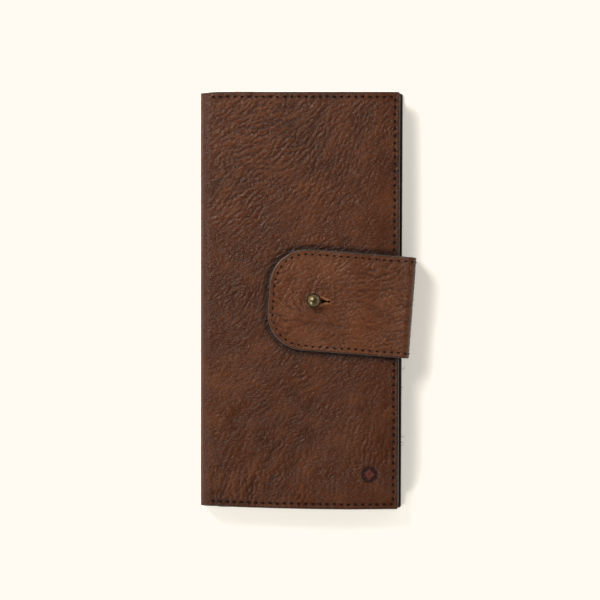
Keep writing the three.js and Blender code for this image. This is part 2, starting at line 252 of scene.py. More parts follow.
def edge_loop(rows, columns):
    """Grid positions round the edge of a rows by columns grid, counter-clockwise."""
    loop = [(i, 0) for i in range(rows - 1)]
    loop += [(rows - 1, j) for j in range(columns - 1)]
    loop += [(i, columns - 1) for i in range(rows - 1, 0, -1)]
    loop += [(0, j) for j in range(columns - 1, 0, -1)]
    return np.array(loop)


def steady(value):
    """A function that has the same value everywhere."""
    return lambda place: value + 0 * place


def rounded_outline(start, end, low, high, radius, open_start=False):
    """The outline of a strip with round corners at its far end, as a function of a, t and inset.

    a goes from 0 at the start to 1 at the end, and t from -1 at low to 1 at high. end is a function
    of t, and low and high are functions of s. With open_start the start isn't inset.
    """
    def outline(a, t, inset):
        first = start if open_start else start + inset
        last = end(t) - inset
        s = first + a * (last - first)
        bend = max(radius - inset, 0.01)
        gap = np.clip(last - s, 0, bend)
        corner = bend - np.sqrt(np.maximum(bend ** 2 - (bend - gap) ** 2, 0))
        bottom = low(s) + inset + corner
        top = high(s) - inset - corner
        y = bottom + (top - bottom) * (t + 1) / 2
        edge = np.minimum(last - s, (1 - np.abs(t)) * (top - bottom) / 2)
        if not open_start:
            edge = np.minimum(edge, s - first)
        return s, y, edge
    return outline


def grid_faces(start, rows, columns):
    """The faces of a grid of vertices, numbered from start and row after row."""
    faces = []
    for i in range(rows - 1):
        base = start + i * columns
        faces += [(base + j, base + columns + j, base + columns + j + 1, base + j + 1)
                  for j in range(columns - 1)]
    return faces


def ring_faces(first, second):
    """The faces between two rings of vertices, given by their numbers."""
    return list(zip(first, np.roll(first, -1), np.roll(second, -1), second))


def outward_of(flat, loop, columns, open_start):
    """Directions out of a piece's edge, in the leather's plane, at each place of its edge loop."""
    tangent = np.roll(flat, -1, axis=0) - np.roll(flat, 1, axis=0)
    outward = np.column_stack([tangent[:, 1], -tangent[:, 0]])
    if open_start:
        seam = loop[:, 0] == 0
        corner = seam & ((loop[:, 1] == 0) | (loop[:, 1] == columns - 1))
        outward[seam] = 0
        outward[corner, 1] = np.where(loop[corner, 1] == 0, -1, 1)
    return outward / np.maximum(np.linalg.norm(outward, axis=1, keepdims=True), 1e-9)


def cut_edge(rim, thickness):
    """How far out and how far down each ring of a rounded cut edge is, from grain to flesh side."""
    turns = [math.radians(angle) for angle in (30, 60, 90)]
    profile = [(rim * math.sin(q), rim * (1 - math.cos(q))) for q in turns]
    return profile + [(out, thickness - down) for out, down in reversed(profile)]


def leather_piece(name, outline, lift, thickness, a_values, t_values, materials,
                  relief=None, rim=RIM, coarse=1, open_start=False):
    """A closed piece of leather with a grain side, a rounded cut edge and a flesh side.

    outline gives flat leather coordinates, lift(s, y, depth) places them, and relief(s, y, edge)
    raises the grain side. The flesh side has one vertex for every coarse ones of the grain side.
    """
    a, t = np.meshgrid(a_values, t_values, indexing="ij")
    rows, columns = a.shape
    s, y, edge = outline(a, t, rim)
    raised = np.zeros_like(s) if relief is None else relief(s, y, edge)
    raised = raised * smooth(edge, 0, FADE)
    grain = lift(s, y, -raised).reshape(-1, 3)

    loop = edge_loop(rows, columns)
    at_loop = (loop[:, 0], loop[:, 1])
    flat = np.column_stack([s[at_loop], y[at_loop]])
    outward = outward_of(flat, loop, columns, open_start)
    rings = [lift(*(flat + outward * out).T, np.full(len(flat), down))
             for out, down in cut_edge(rim, thickness)]
    flesh_s, flesh_y = s[::coarse, ::coarse], y[::coarse, ::coarse]
    flesh = lift(flesh_s, flesh_y, np.full(flesh_s.shape, float(thickness)))
    vertices = np.vstack([grain, *rings, flesh.reshape(-1, 3)])

    count = len(loop)
    grain_faces = grid_faces(0, rows, columns)
    rim_faces = []
    previous = loop[:, 0] * columns + loop[:, 1]
    for ring in range(len(rings)):
        current = np.arange(count) + len(grain) + ring * count
        rim_faces += ring_faces(previous, current)
        previous = current
    start = len(grain) + len(rings) * count
    inner_loop = edge_loop(*flesh_s.shape)
    inner = start + inner_loop[:, 0] * flesh_s.shape[1] + inner_loop[:, 1]
    for k in range(len(inner)):
        fine = [previous[(k * coarse + m) % count] for m in range(coarse + 1)]
        rim_faces.append((*fine, inner[(k + 1) % len(inner)], inner[k]))
    flesh_faces = grid_faces(start, *flesh_s.shape)

    on_rings = np.tile(edge[at_loop], len(rings))
    attributes = {
        "crease": np.concatenate([raised.ravel(), np.zeros(len(vertices) - len(grain))]),
        "edge": np.concatenate([edge.ravel(), on_rings, edge[::coarse, ::coarse].ravel()]),
    }
    slots = [0] * len(grain_faces) + [1] * len(rim_faces) + [2] * len(flesh_faces)
    return new_object(name, vertices, grain_faces + rim_faces + flesh_faces, materials, slots,
                      attributes)


def multiple_of(values, coarse):
    """The same stretch with a number of steps that coarse divides."""
    steps = len(values) - 1
    wanted = math.ceil(steps / coarse) * coarse
    return np.interp(np.linspace(0, steps, wanted + 1), np.arange(steps + 1), values)


def folded(fold, direction, middle_z, flat_z, radius, to_world, extra=None):
    """A lift for half of a strip that wraps an edge: from the fold's middle, round, and out flat.

    extra(x, y) is how far the flat part leaves its plane. On the flat part, a point s along the
    strip lies s - flat_start from the fold's place.
    """
    height = abs(flat_z - middle_z)
    straight = height - radius
    up = math.copysign(1, flat_z - middle_z)

    def lift(s, y, depth):
        phi = np.clip((s - straight) / radius, 0, math.pi / 2)
        p = radius * (1 - np.cos(phi)) + np.maximum(s - straight - radius * math.pi / 2, 0)
        q = np.minimum(s, straight) + radius * np.sin(phi)
        p = p + depth * np.cos(phi)
        q = q - depth * np.sin(phi)
        z = middle_z + up * q
        if extra is not None:
            z = z + extra(fold + direction * p, y) * np.sin(phi)
        return to_world(fold + direction * p, y, z)

    lift.flat_start = straight + radius * math.pi / 2 - radius
    return lift


def world(x, y, z):
    return np.stack([x, y, z], axis=-1)


def plan_from_strap(u, v):
    """World x and y from distances along the strap and across it, both from the stud."""
    return STUD[0] + u * U_AXIS[0] + v * V_AXIS[0], STUD[1] + u * U_AXIS[1] + v * V_AXIS[1]


def from_strap(u, v, z):
    return world(*plan_from_strap(u, v), z)


# ---- Materials ----

def srgb(red, green, blue):
    """A colour given in 0 to 255 screen values, as linear red, green, blue and alpha."""
    parts = [value / 255 for value in (red, green, blue)]
    linear = [p / 12.92 if p <= 0.04045 else ((p + 0.055) / 1.055) ** 2.4 for p in parts]
    return (*linear, 1)


class Nodes:
    """A material's node tree, with short calls for the nodes that the materials here share."""

    def __init__(self, name, roughness, metallic=0.0, specular=0.5):
        self.material = bpy.data.materials.new(name)
        self.material.use_nodes = True
        self.tree = self.material.node_tree
        self.shader = self.tree.nodes["Principled BSDF"]
        self.shader.inputs["Roughness"].default_value = roughness
        self.shader.inputs["Metallic"].default_value = metallic
        self.shader.inputs["Specular IOR Level"].default_value = specular
        self.rest = self.attribute("rest", "Vector")

    def link(self, source, target):
        self.tree.links.new(source, target)

    def add(self, kind, **settings):
        node = self.tree.nodes.new(kind)
        for key, value in settings.items():
            setattr(node, key, value)
        return node

    def attribute(self, name, output="Fac"):
        return self.add("ShaderNodeAttribute", attribute_name=name).outputs[output]

    def coordinate(self, axis):
        """One of a point's rest coordinates: X, Y or Z."""
        split = self.add("ShaderNodeSeparateXYZ")
        self.link(self.rest, split.inputs[0])
        return split.outputs[axis]

    def mapped(self, vector, scale, turn=0.0):
        node = self.add("ShaderNodeMapping")
        node.inputs["Scale"].default_value = scale
        node.inputs["Rotation"].default_value[2] = math.radians(turn)
        self.link(vector, node.inputs["Vector"])
        return node.outputs["Vector"]

    def noise(self, vector, size, detail=3, roughness=0.5, distortion=0.0):
        node = self.add("ShaderNodeTexNoise")
        node.inputs["Scale"].default_value = 1 / size
        node.inputs["Detail"].default_value = detail
        node.inputs["Roughness"].default_value = roughness
        node.inputs["Distortion"].default_value = distortion
        self.link(vector, node.inputs["Vector"])
        return node.outputs["Fac"]

    def swayed(self, size, reach):
        """Rest coordinates pushed about by a soft noise, so that straight patterns wander."""
        sway = self.add("ShaderNodeTexNoise")
        sway.inputs["Scale"].default_value = 1 / size
        self.link(self.rest, sway.inputs["Vector"])
        push = self.add("ShaderNodeVectorMath", operation="SCALE")
        push.inputs["Scale"].default_value = reach
        self.link(sway.outputs["Color"], push.inputs[0])
        moved = self.add("ShaderNodeVectorMath", operation="ADD")
        self.link(self.rest, moved.inputs[0])
        self.link(push.outputs[0], moved.inputs[1])
        return moved.outputs[0]

    def cells(self, vector, size):
        node = self.add("ShaderNodeTexVoronoi", feature="DISTANCE_TO_EDGE")
        node.inputs["Scale"].default_value = 1 / size
        self.link(vector, node.inputs["Vector"])
        return node.outputs["Distance"]

    def math(self, operation, first, second=0.5, clamp=False):
        node = self.add("ShaderNodeMath", operation=operation, use_clamp=clamp)
        for socket, value in zip(node.inputs, (first, second)):
            if isinstance(value, (int, float)):
                socket.default_value = value
            else:
                self.link(value, socket)
        return node.outputs["Value"]

    def hypotenuse(self, first, second):
        squares = [self.math("MULTIPLY", side, side) for side in (first, second)]
        return self.math("SQRT", self.math("ADD", *squares))

    def ranged(self, value, low, high, to_low=0.0, to_high=1.0):
        node = self.add("ShaderNodeMapRange", interpolation_type="SMOOTHSTEP")
        self.link(value, node.inputs["Value"])
        node.inputs["From Min"].default_value = low
        node.inputs["From Max"].default_value = high
        node.inputs["To Min"].default_value = to_low
        node.inputs["To Max"].default_value = to_high
        return node.outputs["Result"]

    def mix(self, factor, first, second, blend="MIX"):
        node = self.add("ShaderNodeMix", data_type="RGBA", blend_type=blend)
        pairs = zip((node.inputs["Factor"], node.inputs[6], node.inputs[7]), (factor, first, second))
        for socket, value in pairs:
            if isinstance(value, (int, float, tuple)):
                socket.default_value = value
            else:
                self.link(value, socket)
        return node.outputs[2]

    def bump(self, height, distance, strength=1.0, normal=None):
        """distance is in millimetres of height for a full step of the height input."""
        node = self.add("ShaderNodeBump")
        node.inputs["Strength"].default_value = strength
        node.inputs["Distance"].default_value = distance * MM
        self.link(height, node.inputs["Height"])
        if normal is not None:
            self.link(normal, node.inputs["Normal"])
        return node.outputs["Normal"]

    def finish(self, colour, normal=None, roughness=None):
        if isinstance(colour, tuple):
            self.shader.inputs["Base Color"].default_value = colour
        else:
            self.link(colour, self.shader.inputs["Base Color"])
        if normal is not None:
            self.link(normal, self.shader.inputs["Normal"])
        if roughness is not None:
            self.link(roughness, self.shader.inputs["Roughness"])
        return self.material


def leather(name, warm, base, cool, heading, grain=1.0, marks=()):
    """Pebbled, oiled leather: mottled colour, worn ridges, dark valleys and a darkened rim."""
    n = Nodes(name, 0.36, specular=0.17)
    drift = n.noise(n.rest, 30, detail=2)
    patches = n.noise(n.rest, 12, detail=3, roughness=0.5)
    speckle = n.noise(n.rest, 1.3, detail=4, roughness=0.65)
    colour = n.mix(n.ranged(drift, 0.32, 0.68), cool, base)
    colour = n.mix(n.ranged(patches, 0.40, 0.75, 0.0, 0.6), colour, warm)
    colour = n.mix(n.ranged(speckle, 0.40, 0.75, 0.0, 0.25), colour, DEEP)

    crease = n.attribute("crease")
    colour = n.mix(n.ranged(crease, 0.01, 0.12, 0.0, 0.35), colour, warm)
    colour = n.mix(n.ranged(crease, -0.01, -0.16, 0.0, 0.5), colour, DEEP)

    along = n.mapped(n.swayed(12, 9.0), (0.5, 1.0, 1.0), -heading)
    wrinkles = n.noise(along, 0.95, detail=2, roughness=0.5)
    pebbles = n.cells(along, 0.9)
    worked = n.ranged(n.noise(n.rest, 22, detail=2), 0.38, 0.62, 0.45, 1.0)
    wrinkles = n.math("MULTIPLY", n.math("SUBTRACT", wrinkles), worked)
    pores = n.noise(n.rest, 0.3, detail=2)
    colour = n.mix(n.ranged(wrinkles, 0.0, -0.14, 0.0, 0.3), colour, DEEP)
    colour = n.mix(n.ranged(pebbles, 0.16, 0.0, 0.0, 0.25), colour, DEEP)
    for mark in marks:
        colour = mark(n, colour)
    colour = n.mix(n.ranged(n.attribute("edge"), 0.0, 0.5, 0.8, 0.0), colour, srgb(30, 21, 16))

    normal = n.bump(wrinkles, 0.75 * grain)
    normal = n.bump(n.ranged(pebbles, 0.0, 0.30), 0.06 * grain, normal=normal)
    normal = n.bump(pores, 0.06, normal=normal)
    return n.finish(colour, normal, n.ranged(patches, 0.3, 0.7, 0.30, 0.40))


def on_front(n):
    """1 on the front of the closed wallet, and 0 on its back."""
    return n.ranged(n.coordinate("Z"), TOP / 2, TOP - HIDE)


def stamped(n, colour):
    """The dark of a round tool mark, redder on the plain diamond that stands in it."""
    dx = n.math("ABSOLUTE", n.math("SUBTRACT", n.coordinate("X"), float(STAMP_CENTRE[0])))
    dy = n.math("ABSOLUTE", n.math("SUBTRACT", n.coordinate("Y"), float(STAMP_CENTRE[1])))
    disc = n.ranged(n.hypotenuse(dx, dy), STAMP_RADIUS - 0.3, STAMP_RADIUS + 0.1, 1.0, 0.0)
    disc = n.math("MULTIPLY", disc, on_front(n))
    reach = n.math("ADD", dx, dy)
    standing = n.ranged(reach, DIAMOND_REACH - 0.5, DIAMOND_REACH, 1.0, 0.0)
    pressed = n.mix(standing, srgb(34, 8, 7), srgb(70, 30, 22))
    return n.mix(n.math("MULTIPLY", disc, 0.9), colour, pressed)


def strap_place(n):
    """How far each point is from the stud, along the strap and across it."""
    places = []
    for axis in (U_AXIS, V_AXIS):
        dot = n.add("ShaderNodeVectorMath", operation="DOT_PRODUCT")
        n.link(n.rest, dot.inputs[0])
        dot.inputs[1].default_value = (*axis, 0)
        places.append(n.math("SUBTRACT", dot.outputs["Value"], float(STUD @ axis)))
    return places


def strap_painted_shadow(n, colour):
    """Painted shadow on the cover along the strap's edge: a dark band where the strap's contact shadow
    falls.
    """
    u, v = strap_place(n)
    gap_u = n.math("MAXIMUM", n.math("SUBTRACT", float(tab_low[0] + TAB_CORNER), u), 0.0)
    gap_v = n.math("SUBTRACT", n.math("ABSOLUTE", v), float(STRAP_HALF - TAB_CORNER))
    gap_v = n.math("MAXIMUM", gap_v, 0.0)
    outside = n.math("SUBTRACT", n.hypotenuse(gap_u, gap_v), TAB_CORNER)
    band = n.math("MULTIPLY", n.ranged(outside, -2.0, 0.2), n.ranged(outside, 0.8, 4.2, 1.0, 0.0))
    band = n.math("MULTIPLY", band, on_front(n))
    # Paints the strap's contact shadow into the cover's colour.
    return n.mix(n.math("MULTIPLY", band, 0.62), colour, srgb(26, 13, 8))


def spine_painted_shade(n, colour):
    """Painted shade: the leather is darker from the fold round the spine."""
    across = n.coordinate("X")
    # Paints shade into the colour along the spine.
    return n.mix(n.ranged(across, SPINE_X + 2, SPINE_X + 6, 0.4, 0.0), colour, srgb(50, 22, 8))


def bend_painted_shade(n, colour):
    """Painted shade: the strap is a little darker where it goes round the wallet's edge."""
    u, _ = strap_place(n)
    # Paints shade into the strap's colour at the bend.
    return n.mix(n.ranged(u, STRAP_FOLD - 14, STRAP_FOLD - 4, 0.0, 0.25), colour, srgb(56, 28, 15))


def worn_lips(n, colour):
    """Pale, worn leather on the raised lips beside the slit."""
    u, v = strap_place(n)
    from_slit = n.math("ADD", n.math("ABSOLUTE", v), n.math("MULTIPLY", u, 0.3))
    band = n.math("MULTIPLY", n.ranged(from_slit, 2.1, 2.5), n.ranged(from_slit, 2.7, 3.7, 1.0, 0.0))
    length = n.math("MULTIPLY", n.ranged(u, 1.5, 3.0), n.ranged(u, SLIT_END, SLIT_END + 1.2, 1.0, 0.0))
    return n.mix(n.math("MULTIPLY", n.math("MULTIPLY", band, length), 0.55), colour, srgb(142, 96, 62))


def burnished_edge():
    n = Nodes("burnished_edge", 0.4, specular=0.55)
    bands = n.noise(n.mapped(n.rest, (0.15, 0.15, 3.0)), 1.0, detail=3)
    colour = n.mix(n.ranged(bands, 0.35, 0.7), srgb(29, 18, 12), srgb(52, 36, 27))
    return n.finish(colour, n.bump(bands, 0.12))


def flesh_side():
    n = Nodes("flesh_side", 0.9, specular=0.2)
    nap = n.noise(n.rest, 0.5, detail=5, roughness=0.7)
    cloud = n.noise(n.rest, 8, detail=3)
    colour = n.mix(n.ranged(cloud, 0.3, 0.7), srgb(84, 58, 43), srgb(104, 74, 55))
    colour = n.mix(n.ranged(nap, 0.35, 0.7, 0.0, 0.4), colour, srgb(60, 40, 30))
    colour = n.mix(n.ranged(n.attribute("edge"), 0.3, 1.6, 0.95, 0.0), colour, srgb(22, 16, 13))
    return n.finish(colour, n.bump(nap, 0.12))


def thread_material():
    n = Nodes("waxed_thread", 0.8, specular=0.1)
    twist = n.noise(n.rest, 0.25, detail=2)
    colour = n.mix(twist, srgb(8, 4, 3), srgb(20, 11, 8))
    return n.finish(colour, n.bump(twist, 0.05))


def antique_brass():
    n = Nodes("antique_brass", 0.3, metallic=1.0)
    tarnish = n.noise(n.rest, 1.4, detail=5, roughness=0.65)
    speck = n.noise(n.rest, 0.35, detail=3)
    colour = n.mix(n.ranged(tarnish, 0.35, 0.7), srgb(76, 68, 50), srgb(112, 99, 74))
    colour = n.mix(n.ranged(speck, 0.55, 0.75, 0.0, 0.5), colour, srgb(58, 47, 32))
    return n.finish(colour, n.bump(speck, 0.015), n.ranged(tarnish, 0.3, 0.7, 0.42, 0.25))


def zip_cloth():
    n = Nodes("zip_cloth", 0.85, specular=0.25)
    rib, yarn = 0.7, 0.5
    along = n.math("SINE", n.math("MULTIPLY", n.coordinate("Y"), 2 * math.pi / rib))
    across = n.math("SINE", n.math("MULTIPLY", n.coordinate("X"), 2 * math.pi / yarn))
    weave = n.math("MULTIPLY", along, across)
    colour = n.mix(n.ranged(weave, -1, 1), srgb(26, 20, 17), srgb(48, 39, 33))
    return n.finish(colour, n.bump(weave, 0.08))


def floor_material():
    """A pale table, lit a little from below so that its shadows stay light."""
    n = Nodes("pale_floor", 0.9, specular=0.1)
    n.shader.inputs["Emission Color"].default_value = (1, 1, 1, 1)
    n.shader.inputs["Emission Strength"].default_value = 0.27
    return n.finish((0.94, 0.93, 0.91, 1))


DEEP = srgb(30, 12, 6)
EDGE = burnished_edge()
FLESH = flesh_side()
THREAD_LOOK = thread_material()
BRASS = antique_brass()
CLOTH = zip_cloth()
COVER_LEATHER = leather(
    "cover_leather", srgb(86, 46, 22), srgb(67, 34, 17), srgb(57, 29, 15), heading=48,
    # The last two marks paint shade into the cover's colour: a shadow beside the strap and shade round
    # the spine.
    marks=(stamped, strap_painted_shadow, spine_painted_shade),
)
STRAP_LEATHER = leather(
    "strap_leather", srgb(100, 58, 33), srgb(84, 47, 27), srgb(74, 41, 25), heading=25, grain=0.8,
    # The second mark paints shade on the strap where it bends round the edge.
    marks=(worn_lips, bend_painted_shade),
)
POCKET_LEATHER = leather(
    "pocket_leather", srgb(90, 54, 34), srgb(78, 46, 31), srgb(66, 40, 29), heading=80, grain=0.5,
)
LINING_LEATHER = leather(
    "lining_leather", srgb(80, 50, 34), srgb(70, 43, 30), srgb(60, 38, 28), heading=10, grain=0.4,
)


# ---- The outer hide ----

def front_drop(x, y):
    """The front half sinks a little towards its free edges."""
    right = 0.5 * smooth(x, FRONT_EDGE - 12, FRONT_EDGE)
    ends = 0.5 * smooth(np.abs(y), HALF_LENGTH - 16, HALF_LENGTH)
    waves = 0.22 * soft_noise(x, y, 34, 5)
    return -(right + ends) + waves * smooth(HALF_LENGTH - np.abs(y), 0, 12)


def cover_heading(s, y):
    """Which way the covers' creases run: aslant, and turning a little from head to foot."""
    turn = 24 * soft_noise(s, y, 38, 11) + 26 * smooth(-y, 20, 85) - 14 * smooth(y, 40, 95)
    return np.radians(48 + turn)


def ridged(height):
    """A crease map's heights with broad ridges and narrow valleys, as in leather."""
    return np.tanh(0.9 * height + 0.25) - 0.22


def seam_groove(edge, seam):
    """The shallow groove that a row of stitches lies in."""
    return -0.07 * bell(edge, seam - RIM, 0.6)


COVER_CREASES = Creases(
    (-108, -HALF_LENGTH - 2), (108, HALF_LENGTH + 2), cover_heading,
    [(1.9, 1.0), (2.8, 0.9), (8.0, 0.45)], seed=7,
)


def diamond(x, y):
    """1 on the plain diamond that stands in the middle of the tool mark, and 0 off it."""
    reach = np.abs(x - STAMP_CENTRE[0]) + np.abs(y - STAMP_CENTRE[1])
    return smooth(DIAMOND_REACH - reach, 0, 0.5)


def beyond_strap(x, y):
    """How far a point of the front cover is outside the closed strap's outline."""
    flat = np.stack([x - STUD[0], y - STUD[1]], axis=-1)
    gap_u = np.maximum(tab_low[0] + TAB_CORNER - flat @ U_AXIS, 0)
    gap_v = np.maximum(np.abs(flat @ V_AXIS) - (STRAP_HALF - TAB_CORNER), 0)
    return np.hypot(gap_u, gap_v) - TAB_CORNER


def crease_depth(s, y):
    """How deeply the hide is creased: most in the two corners by the spine."""
    head = 0.85 * bell(np.hypot(s - 30, y - 80), 0, 36)
    foot = 0.6 * bell(np.hypot(s - 24, y + 90), 0, 17)
    return 0.17 * (0.5 + 0.3 * soft_noise(s, y, 24, 3) + head + foot)


def cover_relief(side, to_x):
    """Creases that are weaker at the fold and the seam, a groove along each, and marks on the front.

    The marks are the pressed tool mark and the line that the strap's edge has rubbed.
    """
    def relief(s, y, edge):
        shaped = ridged(COVER_CREASES.at(side * s, y))
        at_fold = 1 - 0.7 * bell(s, TOP / 2 - FOLD_RADIUS + 4, 7)
        near_seam = 0.45 + 0.55 * smooth(edge, BORDER_SEAM, BORDER_SEAM + 3)
        creases = crease_depth(side * s, y) * shaped * at_fold * near_seam
        seam = seam_groove(edge, BORDER_SEAM)
        groove = -0.11 * bell(s, TOP / 2 + 1.2, 0.8) * (0.5 + 0.5 * smooth(y, -20, 60))
        if side < 0:
            return creases + seam + groove
        x = s + to_x
        mark = smooth(STAMP_RADIUS + 0.2 - np.hypot(x - STAMP_CENTRE[0], y - STAMP_CENTRE[1]), 0, 0.4)
        pressed = -STAMP_DEPTH * mark * (1 - 0.8 * diamond(x, y))
        rubbed = -0.16 * bell(beyond_strap(x, y), 0.6, 1.3)
        return creases * (1 - 0.8 * mark) + seam + groove + pressed + rubbed
    return relief


def cover_half(name, side, edge_x, skew):
    """One cover with its half of the spine, as one piece of hide.

    The free edge is at edge_x in its middle, further out by skew at its head, and less at its foot.
    """
    flat_z = TOP if side > 0 else 0.0
    lift = folded(SPINE_X, 1, TOP / 2, flat_z, FOLD_RADIUS, world, front_drop if side > 0 else None)
    to_x = SPINE_X - lift.flat_start

    def end(t):
        return edge_x - to_x + skew * t

    def high(s):
        drawn = 0.5 * (1 - smooth(s + to_x, SPINE_X, SPINE_X + 8))
        return HALF_LENGTH - drawn + 0.12 * soft_noise(s, 0 * s, 13, 21)

    def low(s):
        drawn = 1.8 * (1 - smooth(s + to_x, SPINE_X - 10, SPINE_X + 60))
        return -HALF_LENGTH + drawn + 0.12 * soft_noise(s, 0 * s, 13, 22)

    outline = rounded_outline(0, end, low, high, CORNER, open_start=True)
    length = end(0)
    stamp_s = STAMP_CENTRE[0] - to_x
    fine_s = [(length - 2.5, length, 0.3)]
    fine_y = [(-HALF_LENGTH, -HALF_LENGTH + 1, 0.4), (HALF_LENGTH - 1, HALF_LENGTH, 0.4)]
    if side > 0:
        fine_s.append((stamp_s - 5, stamp_s + 5, 0.3))
        fine_y.append((STAMP_CENTRE[1] - 5, STAMP_CENTRE[1] + 5, 0.3))
    a_values = multiple_of(spaced(0, length, GRAIN_STEP, fine_s) / length, 4)
    t_values = multiple_of(spaced(-HALF_LENGTH, HALF_LENGTH, GRAIN_STEP, fine_y) / HALF_LENGTH, 4)
    relief = cover_relief(side, to_x)
    made = leather_piece(name, outline, lift, HIDE, a_values, t_values,
                         [COVER_LEATHER, EDGE, FLESH], relief, coarse=4, open_start=True)
    return made, outline, lift


# ---- Thread ----

def resample(points, pitch):
    """Points a pitch apart along a polyline."""
    points = np.array(points, float)
    steps = np.linalg.norm(np.diff(points, axis=0), axis=1)
    travelled = np.concatenate([[0], np.cumsum(steps)])
    count = max(int(round(travelled[-1] / pitch)), 1)
    at = (np.arange(count) + 0.5) * travelled[-1] / count
    return np.column_stack([np.interp(at, travelled, points[:, k]) for k in (0, 1)])


def stitch_template():
    """One stitch along X: a thread that rises from one hole and dips into the next."""
    rings, sides = 9, 8
    vertices = []
    for ring in range(rings):
        q = -1 + 2 * ring / (rings - 1)
        lift = 0.30 * THREAD - 0.85 * THREAD * q ** 4
        thick = THREAD * math.sqrt(max(1 - 0.75 * q ** 4, 0.05))
        for side in range(sides):
            angle = 2 * math.pi * side / sides
            vertices.append((
                q * STITCH_LENGTH / 2,
                1.05 * thick * math.cos(angle),
                lift + 0.8 * thick * math.sin(angle),
            ))
    faces = [tuple(range(sides)), tuple(range((rings - 1) * sides, rings * sides))]
    for ring in range(rings - 1):
        for side in range(sides):
            near, far = ring * sides, (ring + 1) * sides
            other = (side + 1) % sides
            faces.append((near + side, near + other, far + other, far + side))
    return np.array(vertices), faces


STITCH_POINTS, STITCH_FACES = stitch_template()


def surface_axes(lift, s, y, run, depth):
    """A place in a lifted surface, and the directions along run, across it and up from there."""
    step = 0.1
    place = lift(np.array(s), np.array(y), np.array(depth))
    along = lift(np.array(s + step * run[0]), np.array(y + step * run[1]), np.array(depth)) - place
    above = place - lift(np.array(s), np.array(y), np.array(depth + step))
    along /= np.linalg.norm(along)
    across = np.cross(above / np.linalg.norm(above), along)
    across /= np.linalg.norm(across)
    return place, np.array([along, across, np.cross(along, across)])


def stitches(name, paths, lift, seed, pitch=STITCH_PITCH, weight=1.0):
    """Stitches along paths in flat leather coordinates, laid on the surface that lift gives.

    weight is the thread's thickness beside the border thread's.
    """
    sunk, stray = 0.12, 0.06
    rng = np.random.default_rng(seed)
    vertices, faces = [], []
    for path in paths:
        spots = resample(path, pitch)
        ahead = np.roll(spots, -1, axis=0)
        ahead[-1] = 2 * spots[-1] - spots[-2]
        runs = (ahead - spots) / np.linalg.norm(ahead - spots, axis=1, keepdims=True)
        for spot, run in zip(spots, runs):
            place, axes = surface_axes(lift, *(spot + rng.normal(0, stray, 2)), run, sunk)
            base = len(vertices) * len(STITCH_POINTS)
            scale = (rng.uniform(0.9, 1.08) * (1 + weight) / 2, weight, weight)
            vertices.append(place + (STITCH_POINTS * scale) @ axes)
            faces += [tuple(base + k for k in face) for face in STITCH_FACES]
    return new_object(name, np.vstack(vertices), faces, [THREAD_LOOK])


def border_path(outline, inset, first, count):
    """A border seam's path: out along one long side from first, round the free end and back."""
    a = np.linspace(0, 1, count)
    side = first + (1 - first) * a
    ones = np.ones(count)
    stretches = [
        outline(side, ones, inset),
        outline(ones, 1 - 2 * a, inset),
        outline(side[::-1], -ones, inset),
    ]
    return np.column_stack([np.concatenate([part[k] for part in stretches]) for k in (0, 1)])


def cover_seam(outline):
    """The stitches begin on the flat of the cover, a little way in from the fold."""
    return border_path(outline, BORDER_SEAM, 0.12, 120)


FRONT_REACH = 0.9         # how far a cover's free edge is past its place in CAD
BACK_REACH = 0.5
front_hide, front_outline, front_lift = cover_half("front_hide", 1, FRONT_EDGE + FRONT_REACH, 0.5)
back_hide, back_outline, back_lift = cover_half("back_hide", -1, BACK_EDGE + BACK_REACH, 0.45)


def blend_at_fold(piece):
    """Bakes a piece's transform into its mesh."""
    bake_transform(piece)


blend_at_fold(front_hide)
blend_at_fold(back_hide)
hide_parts("front_cover", "spine_cover")
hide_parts("back_cover", "spine_cover")

front_thread = stitches("front_thread", [cover_seam(front_outline)], front_lift, seed=2)
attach(front_thread, "front_half")
ANCHOR_SEAM = 2.5         # from the sewn-in anchor's edge to its box of stitches
ANCHOR_FREE = 6           # how much of the back cover the box leaves free at the edge
box_u = np.array([anchor_low[0] + ANCHOR_SEAM, BACK_EDGE - STUD[0] - ANCHOR_FREE])[[0, 1, 1, 0, 0]]
box_v = (STRAP_HALF - ANCHOR_SEAM) * np.array([-1, -1, 1, 1, -1])
box_x, box_y = plan_from_strap(box_u, box_v)
anchor_seam = np.column_stack([box_x - SPINE_X + back_lift.flat_start, box_y])
back_thread = stitches("back_thread", [cover_seam(back_outline), anchor_seam], back_lift, seed=3)
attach(back_thread, "back_half")


# ---- The strap ----

def tab_sag(u, v):
    """The tab lies close to the cover, lifts at its tip, and is held up a little by the stud."""
    lie = -0.45 * smooth(u, 34, 10) * smooth(u, -24, -6)
    edge_x = STUD[0] + u * U_AXIS[0]
    follow = -0.6 * smooth(edge_x, FRONT_EDGE - 26, FRONT_EDGE - 6)
    follow = follow * smooth(u, STRAP_FOLD, STRAP_FOLD - 9)
    sides = -0.25 * smooth(np.abs(v), 8, STRAP_HALF) * smooth(u, 40, 20)
    waves = 0.15 * soft_noise(u, v, 17, 31)
    return lie + follow + sides + waves


def strap_heading(u, v):
    """Which way the strap's creases run: along it on the whole, and out from the stud around it."""
    radial = np.degrees(np.arctan2(v, u))
    near = np.exp(-np.hypot(u, v) / 9)
    return np.radians(24 + 26 * soft_noise(u, v, 22, 41)) * (1 - near) + np.radians(radial) * near


STRAP_CREASES = Creases(
    (-34, -STRAP_HALF - 2), (60, STRAP_HALF + 2), strap_heading,
    [(2.0, 1.0), (3.0, 0.7), (7.0, 0.4)], seed=17,
)


